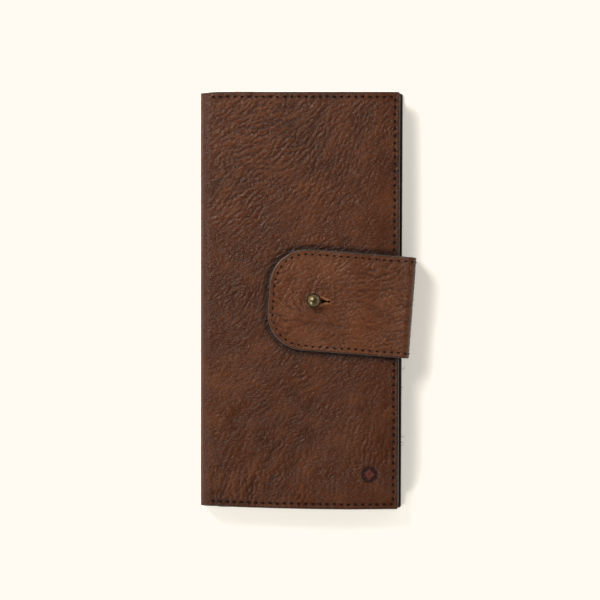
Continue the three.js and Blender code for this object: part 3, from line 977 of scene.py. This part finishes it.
def strap_relief(to_u):
    """Creases, the seam's groove, the raised lips of the slit, and a short fold past its end."""
    def relief(s, v, edge):
        u = to_u(s)
        shaped = ridged(STRAP_CREASES.at(u, v))
        near_seam = 0.4 + 0.6 * smooth(edge, STRAP_SEAM, STRAP_SEAM + 2.5)
        creases = 0.14 * shaped * near_seam * (0.8 + 0.4 * soft_noise(u, v, 15, 43))
        seam = seam_groove(edge, STRAP_SEAM)
        beside = bell(np.abs(v), KEYHOLE - 0.3 * u, 0.9)
        lips = 0.7 * beside * smooth(u, 0.5, 3.0) * (1 - smooth(u, 6, SLIT_END + 1))
        fold = -0.18 * bell(u, 10.3, 0.45) * bell(v, 3.0, 3.6)
        return creases + seam + lips + fold
    return relief


def strap_half(name, depth, flat_z, thickness, end_u, radius, corner, materials, inset=0.0, sag=None):
    """The strap's tab or anchor with its half of the bend, depth below the grain surface.

    end_u is where it ends, and inset is how much narrower than the strap it is on each side.
    """
    fold = STRAP_FOLD - depth
    flat = flat_z - math.copysign(depth, flat_z - STRAP_MIDDLE)
    lift = folded(fold, -1, STRAP_MIDDLE, flat, radius - depth, from_strap, sag)
    start = lift.flat_start
    length = fold - end_u + start
    half = STRAP_HALF - inset
    outline = rounded_outline(0, steady(length), steady(-half), steady(half), corner,
                              open_start=True)
    step = STRAP_STEP if depth == 0 else PLAIN_STEP
    a_values = spaced(0, length, step, [(length - 3, length, step / 2)]) / length
    t_values = spaced(-STRAP_HALF, STRAP_HALF, step) / STRAP_HALF
    relief = strap_relief(lambda s: fold + start - s) if depth == 0 and flat_z > STRAP_MIDDLE else None
    made = leather_piece(name, outline, lift, thickness, a_values, t_values, materials, relief,
                         rim=min(RIM, thickness * 0.45), open_start=True)
    return made, outline, lift


STRAP_LAYERS = [STRAP_LEATHER, EDGE, FLESH]
LINING_LAYERS = [FLESH, EDGE, LINING_LEATHER]
GLUE = 0.04               # between the hide and its lining
strap_tab, tab_outline, tab_lift = strap_half(
    "strap_tab_leather", 0, STRAP_TOP, STRAP_HIDE, tab_low[0], STRAP_FOLD_RADIUS, TAB_CORNER,
    STRAP_LAYERS, sag=tab_sag)
strap_fold, fold_outline, fold_lift = strap_half(
    "strap_fold_leather", 0, STRAP_BOTTOM, STRAP_HIDE, anchor_low[0], STRAP_FOLD_RADIUS,
    LAYER_CORNER, STRAP_LAYERS)
tab_lining, _, _ = strap_half(
    "strap_tab_backing", STRAP_HIDE + GLUE, STRAP_TOP, LINING, tab_low[0] + 0.35,
    STRAP_FOLD_RADIUS, TAB_CORNER, LINING_LAYERS, inset=0.3, sag=tab_sag)
fold_lining, _, _ = strap_half(
    "strap_fold_backing", STRAP_HIDE + GLUE, STRAP_BOTTOM, LINING, anchor_low[0] + 0.5,
    STRAP_FOLD_RADIUS, LAYER_CORNER, LINING_LAYERS, inset=0.3)


def prism_shape(x, y, z_low, z_high):
    """Points and faces of a straight prism on the outline x, y."""
    count = len(x)
    rings = [world(np.asarray(x), np.asarray(y), np.full(count, z)) for z in (z_low, z_high)]
    ends = [tuple(range(count)), tuple(range(count, 2 * count))]
    return np.vstack(rings), ends + ring_faces(np.arange(count), np.arange(count) + count)


def prism(name, x, y, z_low, z_high, materials=(), bevel=0.0):
    """A straight prism on the outline x, y, with its sharp edges rounded where bevel is given."""
    points, faces = prism_shape(x, y, z_low, z_high)
    if bevel:
        points, faces = bevelled(points, faces, bevel)
    return new_object(name, points, faces, materials)


def bevelled(points, faces, width):
    """The same closed shape with its sharp edges rounded."""
    work = bmesh.new()
    corners = [work.verts.new(point) for point in points]
    for face in faces:
        work.faces.new([corners[k] for k in face])
    bmesh.ops.recalc_face_normals(work, faces=work.faces)
    sharp = [edge for edge in work.edges if edge.calc_face_angle(0) > math.radians(35)]
    bmesh.ops.bevel(work, geom=sharp, offset=width, segments=2, profile=0.5, affect="EDGES",
                    clamp_overlap=True)
    work.verts.index_update()
    points = np.array([vertex.co for vertex in work.verts])
    faces = [tuple(vertex.index for vertex in face.verts) for face in work.faces]
    work.free()
    return points, faces


def cut(piece, cutter):
    """Cuts the cutter's shape out of a piece, and removes the cutter."""
    work = piece.modifiers.new("cut", "BOOLEAN")
    work.operation = "DIFFERENCE"
    work.solver = "EXACT"
    work.object = cutter
    depsgraph = bpy.context.evaluated_depsgraph_get()
    mesh = bpy.data.meshes.new_from_object(piece.evaluated_get(depsgraph))
    piece.modifiers.clear()
    piece.data = mesh
    points = np.array([v.co for v in mesh.vertices], np.float32) / MM
    mesh.attributes["rest"].data.foreach_set("vector", points.ravel())
    bpy.data.objects.remove(cutter)


def keyhole_cutter():
    """A prism the shape of the keyhole: the round hole, the slit and the small hole that ends it."""
    mouth = math.radians(30)
    points = [(KEYHOLE * math.cos(angle), KEYHOLE * math.sin(angle))
              for angle in np.linspace(mouth, 2 * math.pi - mouth, 28)]
    points += [(3.6, -1.15), (5.4, -0.5), (SLIT_END - 0.6, -0.18)]
    points += [(SLIT_END + 0.6 * math.cos(angle), 0.6 * math.sin(angle))
               for angle in np.linspace(-2.7, 2.7, 10)]
    points += [(SLIT_END - 0.6, 0.18), (5.4, 0.5), (3.6, 1.15)]
    x, y = plan_from_strap(*np.array(points).T)
    return prism("keyhole_cutter", x, y, STRAP_TOP - 5, STRAP_TOP + 3)


for piece in (strap_tab, tab_lining):
    cut(piece, keyhole_cutter())


SEAM_POINTS = 160         # on each stretch of the strap's seam
SEWN_IN = 10              # of those, at the end that the back cover holds


def strap_seam(outline):
    return border_path(outline, STRAP_SEAM, 0.02, SEAM_POINTS)


tab_thread = stitches("strap_tab_thread", [strap_seam(tab_outline)], tab_lift, seed=4, weight=0.75)
fold_seam = strap_seam(fold_outline)
fold_sides = [fold_seam[:SEAM_POINTS - SEWN_IN], fold_seam[SEWN_IN - SEAM_POINTS:]]
fold_thread = stitches("strap_fold_thread", fold_sides, fold_lift, seed=5, weight=0.75)
for piece in (strap_tab, tab_lining, tab_thread):
    blend_at_fold(piece)
for piece in (strap_fold, fold_lining, fold_thread):
    blend_at_fold(piece)
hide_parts("strap_tab", "strap_bend")
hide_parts("strap_tab_lining", "strap_bend_lining")
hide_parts("strap_anchor", "strap_bend")
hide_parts("strap_anchor_lining", "strap_bend_lining")


# ---- The ball stud ----

def lathe(name, profile, centre, material, sides=64):
    """A turned piece: profile is (radius, height) from the axis round to the axis."""
    angles = np.linspace(0, 2 * math.pi, sides, endpoint=False)
    vertices, faces, rings = [], [], []
    for radius, height in profile:
        if radius == 0:
            rings.append([len(vertices)] * sides)
            vertices.append((centre[0], centre[1], height))
            continue
        rings.append(list(range(len(vertices), len(vertices) + sides)))
        vertices += [(centre[0] + radius * math.cos(q), centre[1] + radius * math.sin(q), height)
                     for q in angles]
    for lower, upper in zip(rings, rings[1:]):
        for k in range(sides):
            corners = [lower[k], lower[(k + 1) % sides], upper[(k + 1) % sides], upper[k]]
            faces.append(tuple(dict.fromkeys(corners)))
    return new_object(name, vertices, faces, [material], sharp=60)


def ball_stud():
    """The stud outside the cover: a flange, a neck and the ball."""
    ball, neck = 3.5, 1.75
    centre_z = stud_high[2] - ball
    flange, seat = (stud_high[0] - stud_low[0]) / 2, stud_low[2]
    profile = [(0, seat), (flange - 0.3, seat), (flange, seat + 0.2), (flange, seat + 0.6),
               (flange - 0.35, TOP + 0.05), (neck + 0.6, TOP + 0.1), (neck + 0.15, TOP + 0.35),
               (neck, TOP + 0.8)]
    start = math.asin(neck / ball)
    profile += [(neck, centre_z - ball * math.cos(start) - 0.15)]
    profile += [(ball * math.sin(q), centre_z - ball * math.cos(q))
                for q in np.linspace(start, math.pi, 26)[:-1]]
    profile.append((0, centre_z + ball))
    made = lathe("ball_stud", profile, STUD, BRASS, sides=72)
    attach(made, "front_half")
    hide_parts("stud_ball")


ball_stud()


def stud_screw():
    """The slotted head that holds the stud, seen inside the bill pocket."""
    low, high = box_mm("stud_screw")
    head = (high[0] - low[0]) / 2
    profile = [(0, low[2]), (head - 0.5, low[2] + 0.05), (head, low[2] + 0.3), (head, low[2] + 0.9),
               (2.0, low[2] + 1.0), (2.0, TOP - 1), (0, TOP - 1)]
    made = lathe("screw_head", profile, STUD, BRASS)
    slot_x = STUD[0] + np.array([-1, 1, 1, -1]) * (head + 1)
    slot_y = STUD[1] + np.array([-1, -1, 1, 1]) * 0.5
    cut(made, prism("driver_slot", slot_x, slot_y, low[2] - 1, low[2] + 0.45))
    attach(made, "front_half")
    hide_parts("stud_screw")


stud_screw()

# ---- The linings ----

LINING_DEPTH = HIDE + GLUE
LINING_LEATHER_THICKNESS = 1.05
LINING_EDGE = 1.1         # from a cover's edge to its lining's
LINING_RADIUS = FOLD_RADIUS - LINING_DEPTH


def lining_half(name, flat_z, edge_x, drop):
    """The lining of one cover and of its half of the spine."""
    up = math.copysign(1, flat_z - TOP / 2)
    lift = folded(SPINE_X + LINING_DEPTH, 1, TOP / 2, flat_z - up * LINING_DEPTH, LINING_RADIUS,
                  world, drop)
    length = edge_x - LINING_EDGE - (SPINE_X + LINING_DEPTH) + lift.flat_start
    half = HALF_LENGTH - LINING_EDGE

    def narrowed(s):
        return half - 1.4 * (1 - smooth(s, 4, 16))

    outline = rounded_outline(0, steady(length), lambda s: -narrowed(s), narrowed, LAYER_CORNER,
                              open_start=True)
    a_values = spaced(0, length, PLAIN_STEP, [(2, 14, 0.6)]) / length
    t_values = spaced(-half, half, PLAIN_STEP) / half
    return leather_piece(name, outline, lift, LINING_LEATHER_THICKNESS, a_values, t_values,
                         LINING_LAYERS, open_start=True)


front_lining = lining_half("front_lining_leather", TOP, FRONT_EDGE, front_drop)
back_lining = lining_half("back_lining_leather", 0.0, BACK_EDGE, None)
NOTCH_ROOM = 0.5          # around the strap's anchor
PAST_EDGE = 9             # how far the notch's cutter reaches past the strap's fold
notch_ends = np.array([anchor_low[0] - NOTCH_ROOM, STRAP_FOLD + PAST_EDGE])
notch_u = notch_ends[[0, 1, 1, 0]]
notch_v = np.array([-1, -1, 1, 1]) * (STRAP_HALF + NOTCH_ROOM)
notch_x, notch_y = plan_from_strap(notch_u, notch_v)
cut(back_lining, prism("notch_cutter", notch_x, notch_y, HIDE - 3, 6))
blend_at_fold(front_lining)
blend_at_fold(back_lining)
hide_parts("front_lining", "spine_lining")
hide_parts("back_lining", "spine_lining")

# ---- Pockets ----

PANEL_SEAM = 1.9          # from a pocket's edge to its stitches
CREASE_LINE = 1.5         # from a pocket's mouth to the line pressed beside it
CLOSE_UP = 0.12           # how far a layer fills the CAD's gap on each side
TOP_CLOSE_UP = 0.03       # the same for the outermost card pocket
MOUTH_CLEAR = 1.0         # from a pocket's mouth to its first stitch
STITCH_CLEAR = 0.6        # from a pocket's last stitch to the pocket that covers it


def panel_relief(x, y, edge):
    """A pressed line along every edge, and a skin that isn't quite flat."""
    line = -0.13 * bell(edge, CREASE_LINE - RIM, 0.32)
    return line + 0.07 * soft_noise(x, y, 6, 61) + 0.05 * soft_noise(x, y, 2.6, 62)


def panel(name, node, facing, shape, body, material, close_up=CLOSE_UP):
    """A flat pocket layer in place of a CAD node. facing is 1 where its grain side looks up.

    shape(x, y) is how far the layer leaves its plane.
    """
    low, high = box_mm(node)
    face_z = high[2] + close_up if facing > 0 else low[2] - close_up
    thickness = high[2] - low[2] + 2 * close_up

    def lift(x, y, depth):
        return world(x, y, face_z - facing * depth + shape(x, y))

    def fine_at_ends(length):
        return spaced(0, length, PLAIN_STEP, [(0, 2.6, 0.35), (length - 2.6, length, 0.35)])

    outline = rounded_outline(low[0], steady(high[0]), steady(low[1]), steady(high[1]),
                              LAYER_CORNER)
    width, height = high[0] - low[0], high[1] - low[1]
    made = leather_piece(name, outline, lift, thickness, fine_at_ends(width) / width,
                         2 * fine_at_ends(height) / height - 1, [material, EDGE, FLESH],
                         panel_relief, rim=0.35)
    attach(made, body)
    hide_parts(node)
    return made, lift, low, high


def card_pockets():
    """Two columns of four pockets: a seam down both sides, and one along the foot of the last."""
    tiers = (1, 2, 3, 4)
    for column in ("upper", "lower"):
        layers = []
        for tier in tiers:
            node = f"card_pocket_{column}_{tier}"
            layers.append(panel(f"{node}_leather", node, -1, front_drop, "front_half", POCKET_LEATHER,
                                CLOSE_UP if tier < tiers[-1] else TOP_CLOSE_UP))
        for tier, (_, lift, low, high), covered_by in zip(tiers, layers, [*layers[1:], None]):
            stop = high[0] - PANEL_SEAM if covered_by is None else covered_by[2][0] - STITCH_CLEAR
            sides = (low[1] + PANEL_SEAM, high[1] - PANEL_SEAM)
            paths = [[(low[0] + MOUTH_CLEAR, y), (stop, y)] for y in sides]
            if covered_by is None:
                paths.append([(stop, sides[0] + 2), (stop, sides[1] - 2)])
            thread = stitches(f"card_thread_{column}_{tier}", paths, lift, seed=20 + tier)
            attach(thread, "front_half")


panel("bill_panel_leather", "bill_panel", -1, front_drop, "front_half", LINING_LEATHER)
card_pockets()


def flat(x, y):
    return 0 * x


panel("slip_pocket_leather", "slip_pocket", 1, flat, "back_half", POCKET_LEATHER)
panel("coin_pocket_back_leather", "coin_pocket_back", 1, flat, "back_half", LINING_LEATHER)

COIN_LOW, COIN_HIGH = box_mm("coin_pocket_face")
COIN_DEPTH = 2.1          # from the pocket's face down to its back


def coin_drop(x, y):
    """The coin pocket's face comes down to its back along the sewn edges."""
    inside = np.minimum(
        np.minimum(x - COIN_LOW[0], COIN_HIGH[0] - x), np.minimum(y - COIN_LOW[1], COIN_HIGH[1] - y))
    puff = 0.10 * soft_noise(x, y, 19, 71) * smooth(inside, 8, 16)
    return -COIN_DEPTH * (1 - smooth(inside, 1.5, 8)) + puff - 0.12


coin_face, coin_lift, _, _ = panel("coin_pocket_face_leather", "coin_pocket_face", 1, coin_drop,
                                   "back_half", POCKET_LEATHER, 0.0)

ZIP_X = (box_mm("zip_slider")[0][0] + box_mm("zip_slider")[1][0]) / 2
WINDOW_HALF = 4.4         # from the zip's middle to the window's side
WINDOW_END = 76.0         # from the middle of the pocket to the window's end


def closed(x, y):
    """The path round an outline and back to its start."""
    return np.column_stack([np.append(x, x[0]), np.append(y, y[0])])


def rounded_rectangle(half_x, half_y, radius, centre_x):
    """Outline of a rectangle with round corners, centred on the zip."""
    x, y = [], []
    for sign_x, sign_y, turn in ((1, 1, 0), (-1, 1, 90), (-1, -1, 180), (1, -1, 270)):
        angles = np.radians(np.linspace(turn, turn + 90, 7))
        x += list(centre_x + sign_x * (half_x - radius) + radius * np.cos(angles))
        y += list(sign_y * (half_y - radius) + radius * np.sin(angles))
    return np.array(x), np.array(y)


cut(coin_face, prism("window_cutter", *rounded_rectangle(WINDOW_HALF, WINDOW_END, 1.6, ZIP_X), 0, 20))
WINDOW_SEAM = 1.7         # from the window's edge to its stitches
window_seam = closed(*rounded_rectangle(
    WINDOW_HALF + WINDOW_SEAM, WINDOW_END + WINDOW_SEAM, 2.5, ZIP_X))
border_seam = closed(*rounded_rectangle(
    (COIN_HIGH[0] - COIN_LOW[0]) / 2 - PANEL_SEAM, COIN_HIGH[1] - PANEL_SEAM, 2.0,
    (COIN_HIGH[0] + COIN_LOW[0]) / 2))
coin_thread = stitches("coin_pocket_thread", [window_seam, border_seam], coin_lift, seed=31)
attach(coin_thread, "back_half")

# ---- The zip ----

TOOTH_PITCH = 2.4
TOOTH_BEVEL = 0.14
STOP_BEVEL = 0.16
PLATE = 0.6               # thickness of the slider's plates
PLATE_BEVEL = 0.2


def zip_tape(side):
    """One of the two woven tapes, which dips with the pocket's face."""
    node = f"zip_tape_{side}"
    low, high = box_mm(node)

    def lift(x, y, depth):
        return world(x, y, high[2] - depth + coin_drop(x, y))

    outline = rounded_outline(low[0], steady(high[0]), steady(low[1]), steady(high[1]), 0.4)
    made = leather_piece(f"{node}_cloth", outline, lift, high[2] - low[2], np.linspace(0, 1, 9),
                         np.linspace(-1, 1, 120), [CLOTH, CLOTH, CLOTH], rim=0.12)
    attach(made, "back_half")
    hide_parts(node)


def zip_teeth(side, sign):
    """One side's teeth: a shank over the tape's cord, and a round nose that meets the other side."""
    node = f"zip_teeth_{side}"
    low, high = box_mm(node)
    nose, waist, root = 0.5, 0.42, 0.56
    angles = np.radians(np.linspace(-90, 90, 7))
    x = [nose * math.cos(angle) - 0.1 for angle in angles] + [-0.7, -1.3, -2.3, -2.3, -1.3, -0.7]
    y = [nose * math.sin(angle) for angle in angles] + [waist, root, root, -root, -root, -waist]
    points, faces = bevelled(*prism_shape(-sign * np.array(x), y, low[2], high[2]), TOOTH_BEVEL)
    first = low[1] + TOOTH_PITCH / 4 + (TOOTH_PITCH / 2 if sign > 0 else 0)
    vertices, all_faces = [], []
    for y_tooth in np.arange(first, high[1] - 0.4, TOOTH_PITCH):
        base = len(vertices) * len(points)
        vertices.append(points + (ZIP_X, y_tooth, 0))
        all_faces += [tuple(base + k for k in face) for face in faces]
    made = new_object(f"{node}_brass", np.vstack(vertices), all_faces, [BRASS])
    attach(made, "back_half")
    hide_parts(node)


def zip_stop(which):
    """The clip across the teeth at one end of the zip."""
    node = f"zip_{which}_stop"
    low, high = box_mm(node)
    middle, half = (low + high) / 2, (high - low) / 2
    x, y = rounded_rectangle(half[0], half[1], 0.5, ZIP_X)
    made = prism(f"{node}_brass", x, y + middle[1], low[2] - 0.1, high[2] + 0.1, [BRASS], STOP_BEVEL)
    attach(made, "back_half")
    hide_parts(node)


def zip_slider():
    """Two plates with turned-in sides, joined by a bridge that holds the pull."""
    low, high = box_mm("zip_slider")
    centre_y = (low[1] + high[1]) / 2
    nose = [(math.cos(q), math.sin(q)) for q in np.radians(np.linspace(12, 168, 15))]
    wide = (high[0] - low[0]) / 2
    x = [wide * cosine for cosine, _ in nose] + [-0.84 * wide, -0.78 * wide, 0.78 * wide, 0.84 * wide]
    y = [1.6 + 2.8 * sine for _, sine in nose] + [-3.4, -4.4, -4.4, -3.4]
    x, y = ZIP_X + np.array(x), centre_y + np.array(y)
    plate_top = low[2] + 3.0
    parts = [
        prism("zip_slider_top", x, y, plate_top - PLATE, plate_top, [BRASS], PLATE_BEVEL),
        prism("zip_slider_bottom", x, y, low[2], low[2] + PLATE, [BRASS], PLATE_BEVEL),
    ]
    for name, sign in (("left", -1), ("right", 1)):
        side_x, side_y = rounded_rectangle(0.35, 3.6, 0.2, ZIP_X + sign * 0.80 * wide)
        parts.append(prism(f"zip_slider_{name}_side", side_x, side_y + centre_y - 0.3,
                           plate_top - 1.05, plate_top - 0.1, [BRASS], 0.12))
    parts.append(bridge(centre_y, plate_top, high[2]))
    for part in parts:
        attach(part, "slider")
    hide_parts("zip_slider")


def bridge(centre_y, base_z, top_z):
    """The arch over the slider's plate: a flat bar bent over and down at both ends."""
    half, thick, wide, bend, sunk = 3.4, 0.8, 1.2, 1.2, 0.1
    rise = top_z - base_z

    def arch(radius):
        side = [(half - bend + radius, -sunk)]
        side += [(half - bend + radius * math.cos(q), rise - bend + radius * math.sin(q))
                 for q in np.radians(np.linspace(0, 90, 6))]
        return side + [(-y, z) for y, z in reversed(side)]

    outline = arch(bend) + arch(bend - thick)[::-1]
    count = len(outline)
    vertices = [(ZIP_X + x, centre_y + y, base_z + z) for x in (-wide, wide) for y, z in outline]
    faces = []
    for k in range(count // 2 - 1):
        other = count - 1 - k
        faces.append((k, k + 1, other - 1, other))
        faces.append(tuple(count + i for i in (other, other - 1, k + 1, k)))
    faces += ring_faces(np.arange(count), np.arange(count) + count)
    points, faces = bevelled(np.array(vertices), faces, 0.12)
    return new_object("zip_slider_bridge", points, faces, [BRASS])


def pull_eye(half, high_y, hole_low, middle_z):
    """The pull's brass frame. The bridge goes through its hole, and the leather hangs from its bar."""
    hole_high, bar_low = high_y - 0.8, hole_low - 1.4
    x, y = rounded_rectangle(half, (high_y - bar_low) / 2, 1.2, ZIP_X)
    eye = prism("zip_pull_eye", x, y + (high_y + bar_low) / 2, middle_z - 0.4, middle_z + 0.4,
                [BRASS], 0.14)
    hole_x, hole_y = rounded_rectangle(1.5, (hole_high - hole_low) / 2, 0.4, ZIP_X)
    cut(eye, prism("eye_cutter", hole_x, hole_y + (hole_high + hole_low) / 2, 5, 20))
    return eye


def zip_pull():
    """A brass eye that turns over the bridge, and a strip of leather looped through its end."""
    low, high = box_mm("zip_pull")
    half = (high[0] - low[0]) / 2
    middle_z = (low[2] + high[2]) / 2
    hole_low = high[1] - 8.4
    eye = pull_eye(half, high[1], hole_low, middle_z)
    thickness = high[2] - low[2] + 0.1
    loop = hole_low - 0.1

    def lift(s, across, depth):
        return world(ZIP_X + across, loop - s, middle_z + thickness / 2 - depth)

    length, narrower = loop - low[1], 0.5
    outline = rounded_outline(0, steady(length), steady(-half + narrower),
                              lambda s: half - narrower + 0.25 * smooth(s, 3, 10), 1.6)
    strip = leather_piece("zip_pull_leather", outline, lift, thickness, np.linspace(0, 1, 50),
                          np.linspace(-1, 1, 13), [POCKET_LEATHER, EDGE, POCKET_LEATHER], rim=0.42)
    thread = stitches("zip_pull_thread", [[(2.4, -1.7), (2.4, 1.7)]], lift, pitch=1.7, seed=41)
    for piece in (eye, strip, thread):
        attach(piece, "pull")
    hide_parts("zip_pull")


for zip_side, zip_sign in (("left", -1), ("right", 1)):
    zip_tape(zip_side)
    zip_teeth(zip_side, zip_sign)
zip_stop("top")
zip_stop("bottom")
zip_slider()
zip_pull()

# ---- Loose fibres on the cut edges ----

FIBRE = 0.13              # radius


def tube(points, radius, sides=5):
    """A thin closed tube along points."""
    vertices, faces = [], []
    for k, point in enumerate(points):
        ahead = points[min(k + 1, len(points) - 1)] - points[max(k - 1, 0)]
        ahead = ahead / np.linalg.norm(ahead)
        across = np.cross(ahead, (0.3, 0.2, 1.0))
        across /= np.linalg.norm(across)
        up = np.cross(ahead, across)
        taper = radius * (1 - 0.6 * k / len(points))
        vertices += [point + taper * (math.cos(q) * across + math.sin(q) * up)
                     for q in np.linspace(0, 2 * math.pi, sides, endpoint=False)]
    for k in range(len(points) - 1):
        for side in range(sides):
            other = (side + 1) % sides
            faces.append((k * sides + side, k * sides + other,
                          (k + 1) * sides + other, (k + 1) * sides + side))
    last = (len(points) - 1) * sides
    faces += [tuple(range(sides)), tuple(range(last, last + sides))]
    return vertices, faces


def loose_fibres():
    """Short fibres that stand out of the back cover's cut edge, most of them near its foot."""
    rng = np.random.default_rng(51)
    starts = [(BACK_EDGE - 0.3, y, (1, 0)) for y in rng.uniform(-80, -30, 5)]
    starts += [(x, -HALF_LENGTH + 1.6, (0, -1)) for x in rng.uniform(-44, 20, 5)]
    vertices, faces = [], []
    for x, y, (out_x, out_y) in starts:
        length = rng.uniform(1.4, 2.6)
        turn = rng.uniform(-0.9, 0.9)
        height = rng.uniform(0.6, 1.5)
        steps = np.linspace(0, 1, 6)
        points = [np.array([
            x + length * step * (out_x * math.cos(turn * step) - out_y * math.sin(turn * step)),
            y + length * step * (out_y * math.cos(turn * step) + out_x * math.sin(turn * step)),
            height - 0.3 * step,
        ]) for step in steps]
        fibre_vertices, fibre_faces = tube(points, FIBRE)
        base = len(vertices)
        vertices += fibre_vertices
        faces += [tuple(base + k for k in face) for face in fibre_faces]
    made = new_object("loose_fibres", vertices, faces, [THREAD_LOOK])
    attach(made, "back_half")


loose_fibres()

# ---- Light, floor and camera ----

def area_light(name, direction, distance, size, power, colour=(1, 0.985, 0.965)):
    """A square lamp in metres and watts that looks at the wallet from a direction."""
    data = bpy.data.lights.new(name, "AREA")
    data.shape = "SQUARE"
    data.size = size
    data.energy = power
    data.color = colour
    light = bpy.data.objects.new(name, data)
    bpy.context.scene.collection.objects.link(light)
    towards = Vector(direction).normalized()
    light.location = towards * distance
    light.rotation_euler = towards.to_track_quat("Z", "Y").to_euler()


ROOM_LIGHT = 1.8          # brightness of the room at the horizon
OVERHEAD = 0.1            # brightness overhead, as a part of that
CREAM = srgb(255, 251, 242)
area_light("key_light", (-0.41, 0.43, 0.81), 0.6, 0.24, 3.75, (1, 0.96, 0.92))
area_light("fill_light", (-0.60, -0.62, 0.60), 1.0, 0.28, 4.2)


def studio():
    """A soft room light that is dimmer overhead than at the walls."""
    data = bpy.data.worlds.new("studio")
    data.use_nodes = True
    nodes, links = data.node_tree.nodes, data.node_tree.links
    direction = nodes.new("ShaderNodeTexCoord")
    split = nodes.new("ShaderNodeSeparateXYZ")
    links.new(direction.outputs["Generated"], split.inputs[0])
    shade = nodes.new("ShaderNodeMapRange")
    shade.inputs["From Min"].default_value = 0.2
    shade.inputs["From Max"].default_value = 0.75
    shade.inputs["To Min"].default_value = ROOM_LIGHT
    shade.inputs["To Max"].default_value = ROOM_LIGHT * OVERHEAD
    links.new(split.outputs["Z"], shade.inputs["Value"])
    background = nodes["Background"]
    background.inputs["Color"].default_value = (1, 0.99, 0.975, 1)
    links.new(shade.outputs["Result"], background.inputs["Strength"])
    bpy.context.scene.world = data


def cream_white():
    """The picture's white is a warm cream: green and blue stop short of full."""
    view = bpy.context.scene.view_settings
    view.view_transform = "Standard"
    view.use_curve_mapping = True
    for channel, full in ((1, CREAM[1]), (2, CREAM[2])):
        view.curve_mapping.curves[channel].points[-1].location = (1, full)
    view.curve_mapping.extend = "HORIZONTAL"
    view.curve_mapping.update()


studio()
cream_white()


def floor():
    """A wide floor, just under the thread and ridges that the back of the wallet lies on."""
    half, drop = 9000.0, 0.45
    corners = [(-half, -half, -drop), (half, -half, -drop), (half, half, -drop), (-half, half, -drop)]
    new_object("floor", corners, [(0, 1, 2, 3)], [floor_material()])


floor()

FRAME_WIDTH = 282.8       # what the picture is wide, at the height of the front cover
CAMERA_DISTANCE = 2000    # above the front cover
CAMERA_X, CAMERA_Y = -4.0, 0.24
SENSOR = 36
camera_data = bpy.data.cameras.new("camera")
camera_data.sensor_width = SENSOR
camera_data.lens = CAMERA_DISTANCE * SENSOR / FRAME_WIDTH
camera = bpy.data.objects.new("camera", camera_data)
camera.location = np.array([CAMERA_X, CAMERA_Y, TOP + CAMERA_DISTANCE]) * MM
camera_data.clip_end = 10
bpy.context.scene.collection.objects.link(camera)
bpy.context.scene.camera = camera
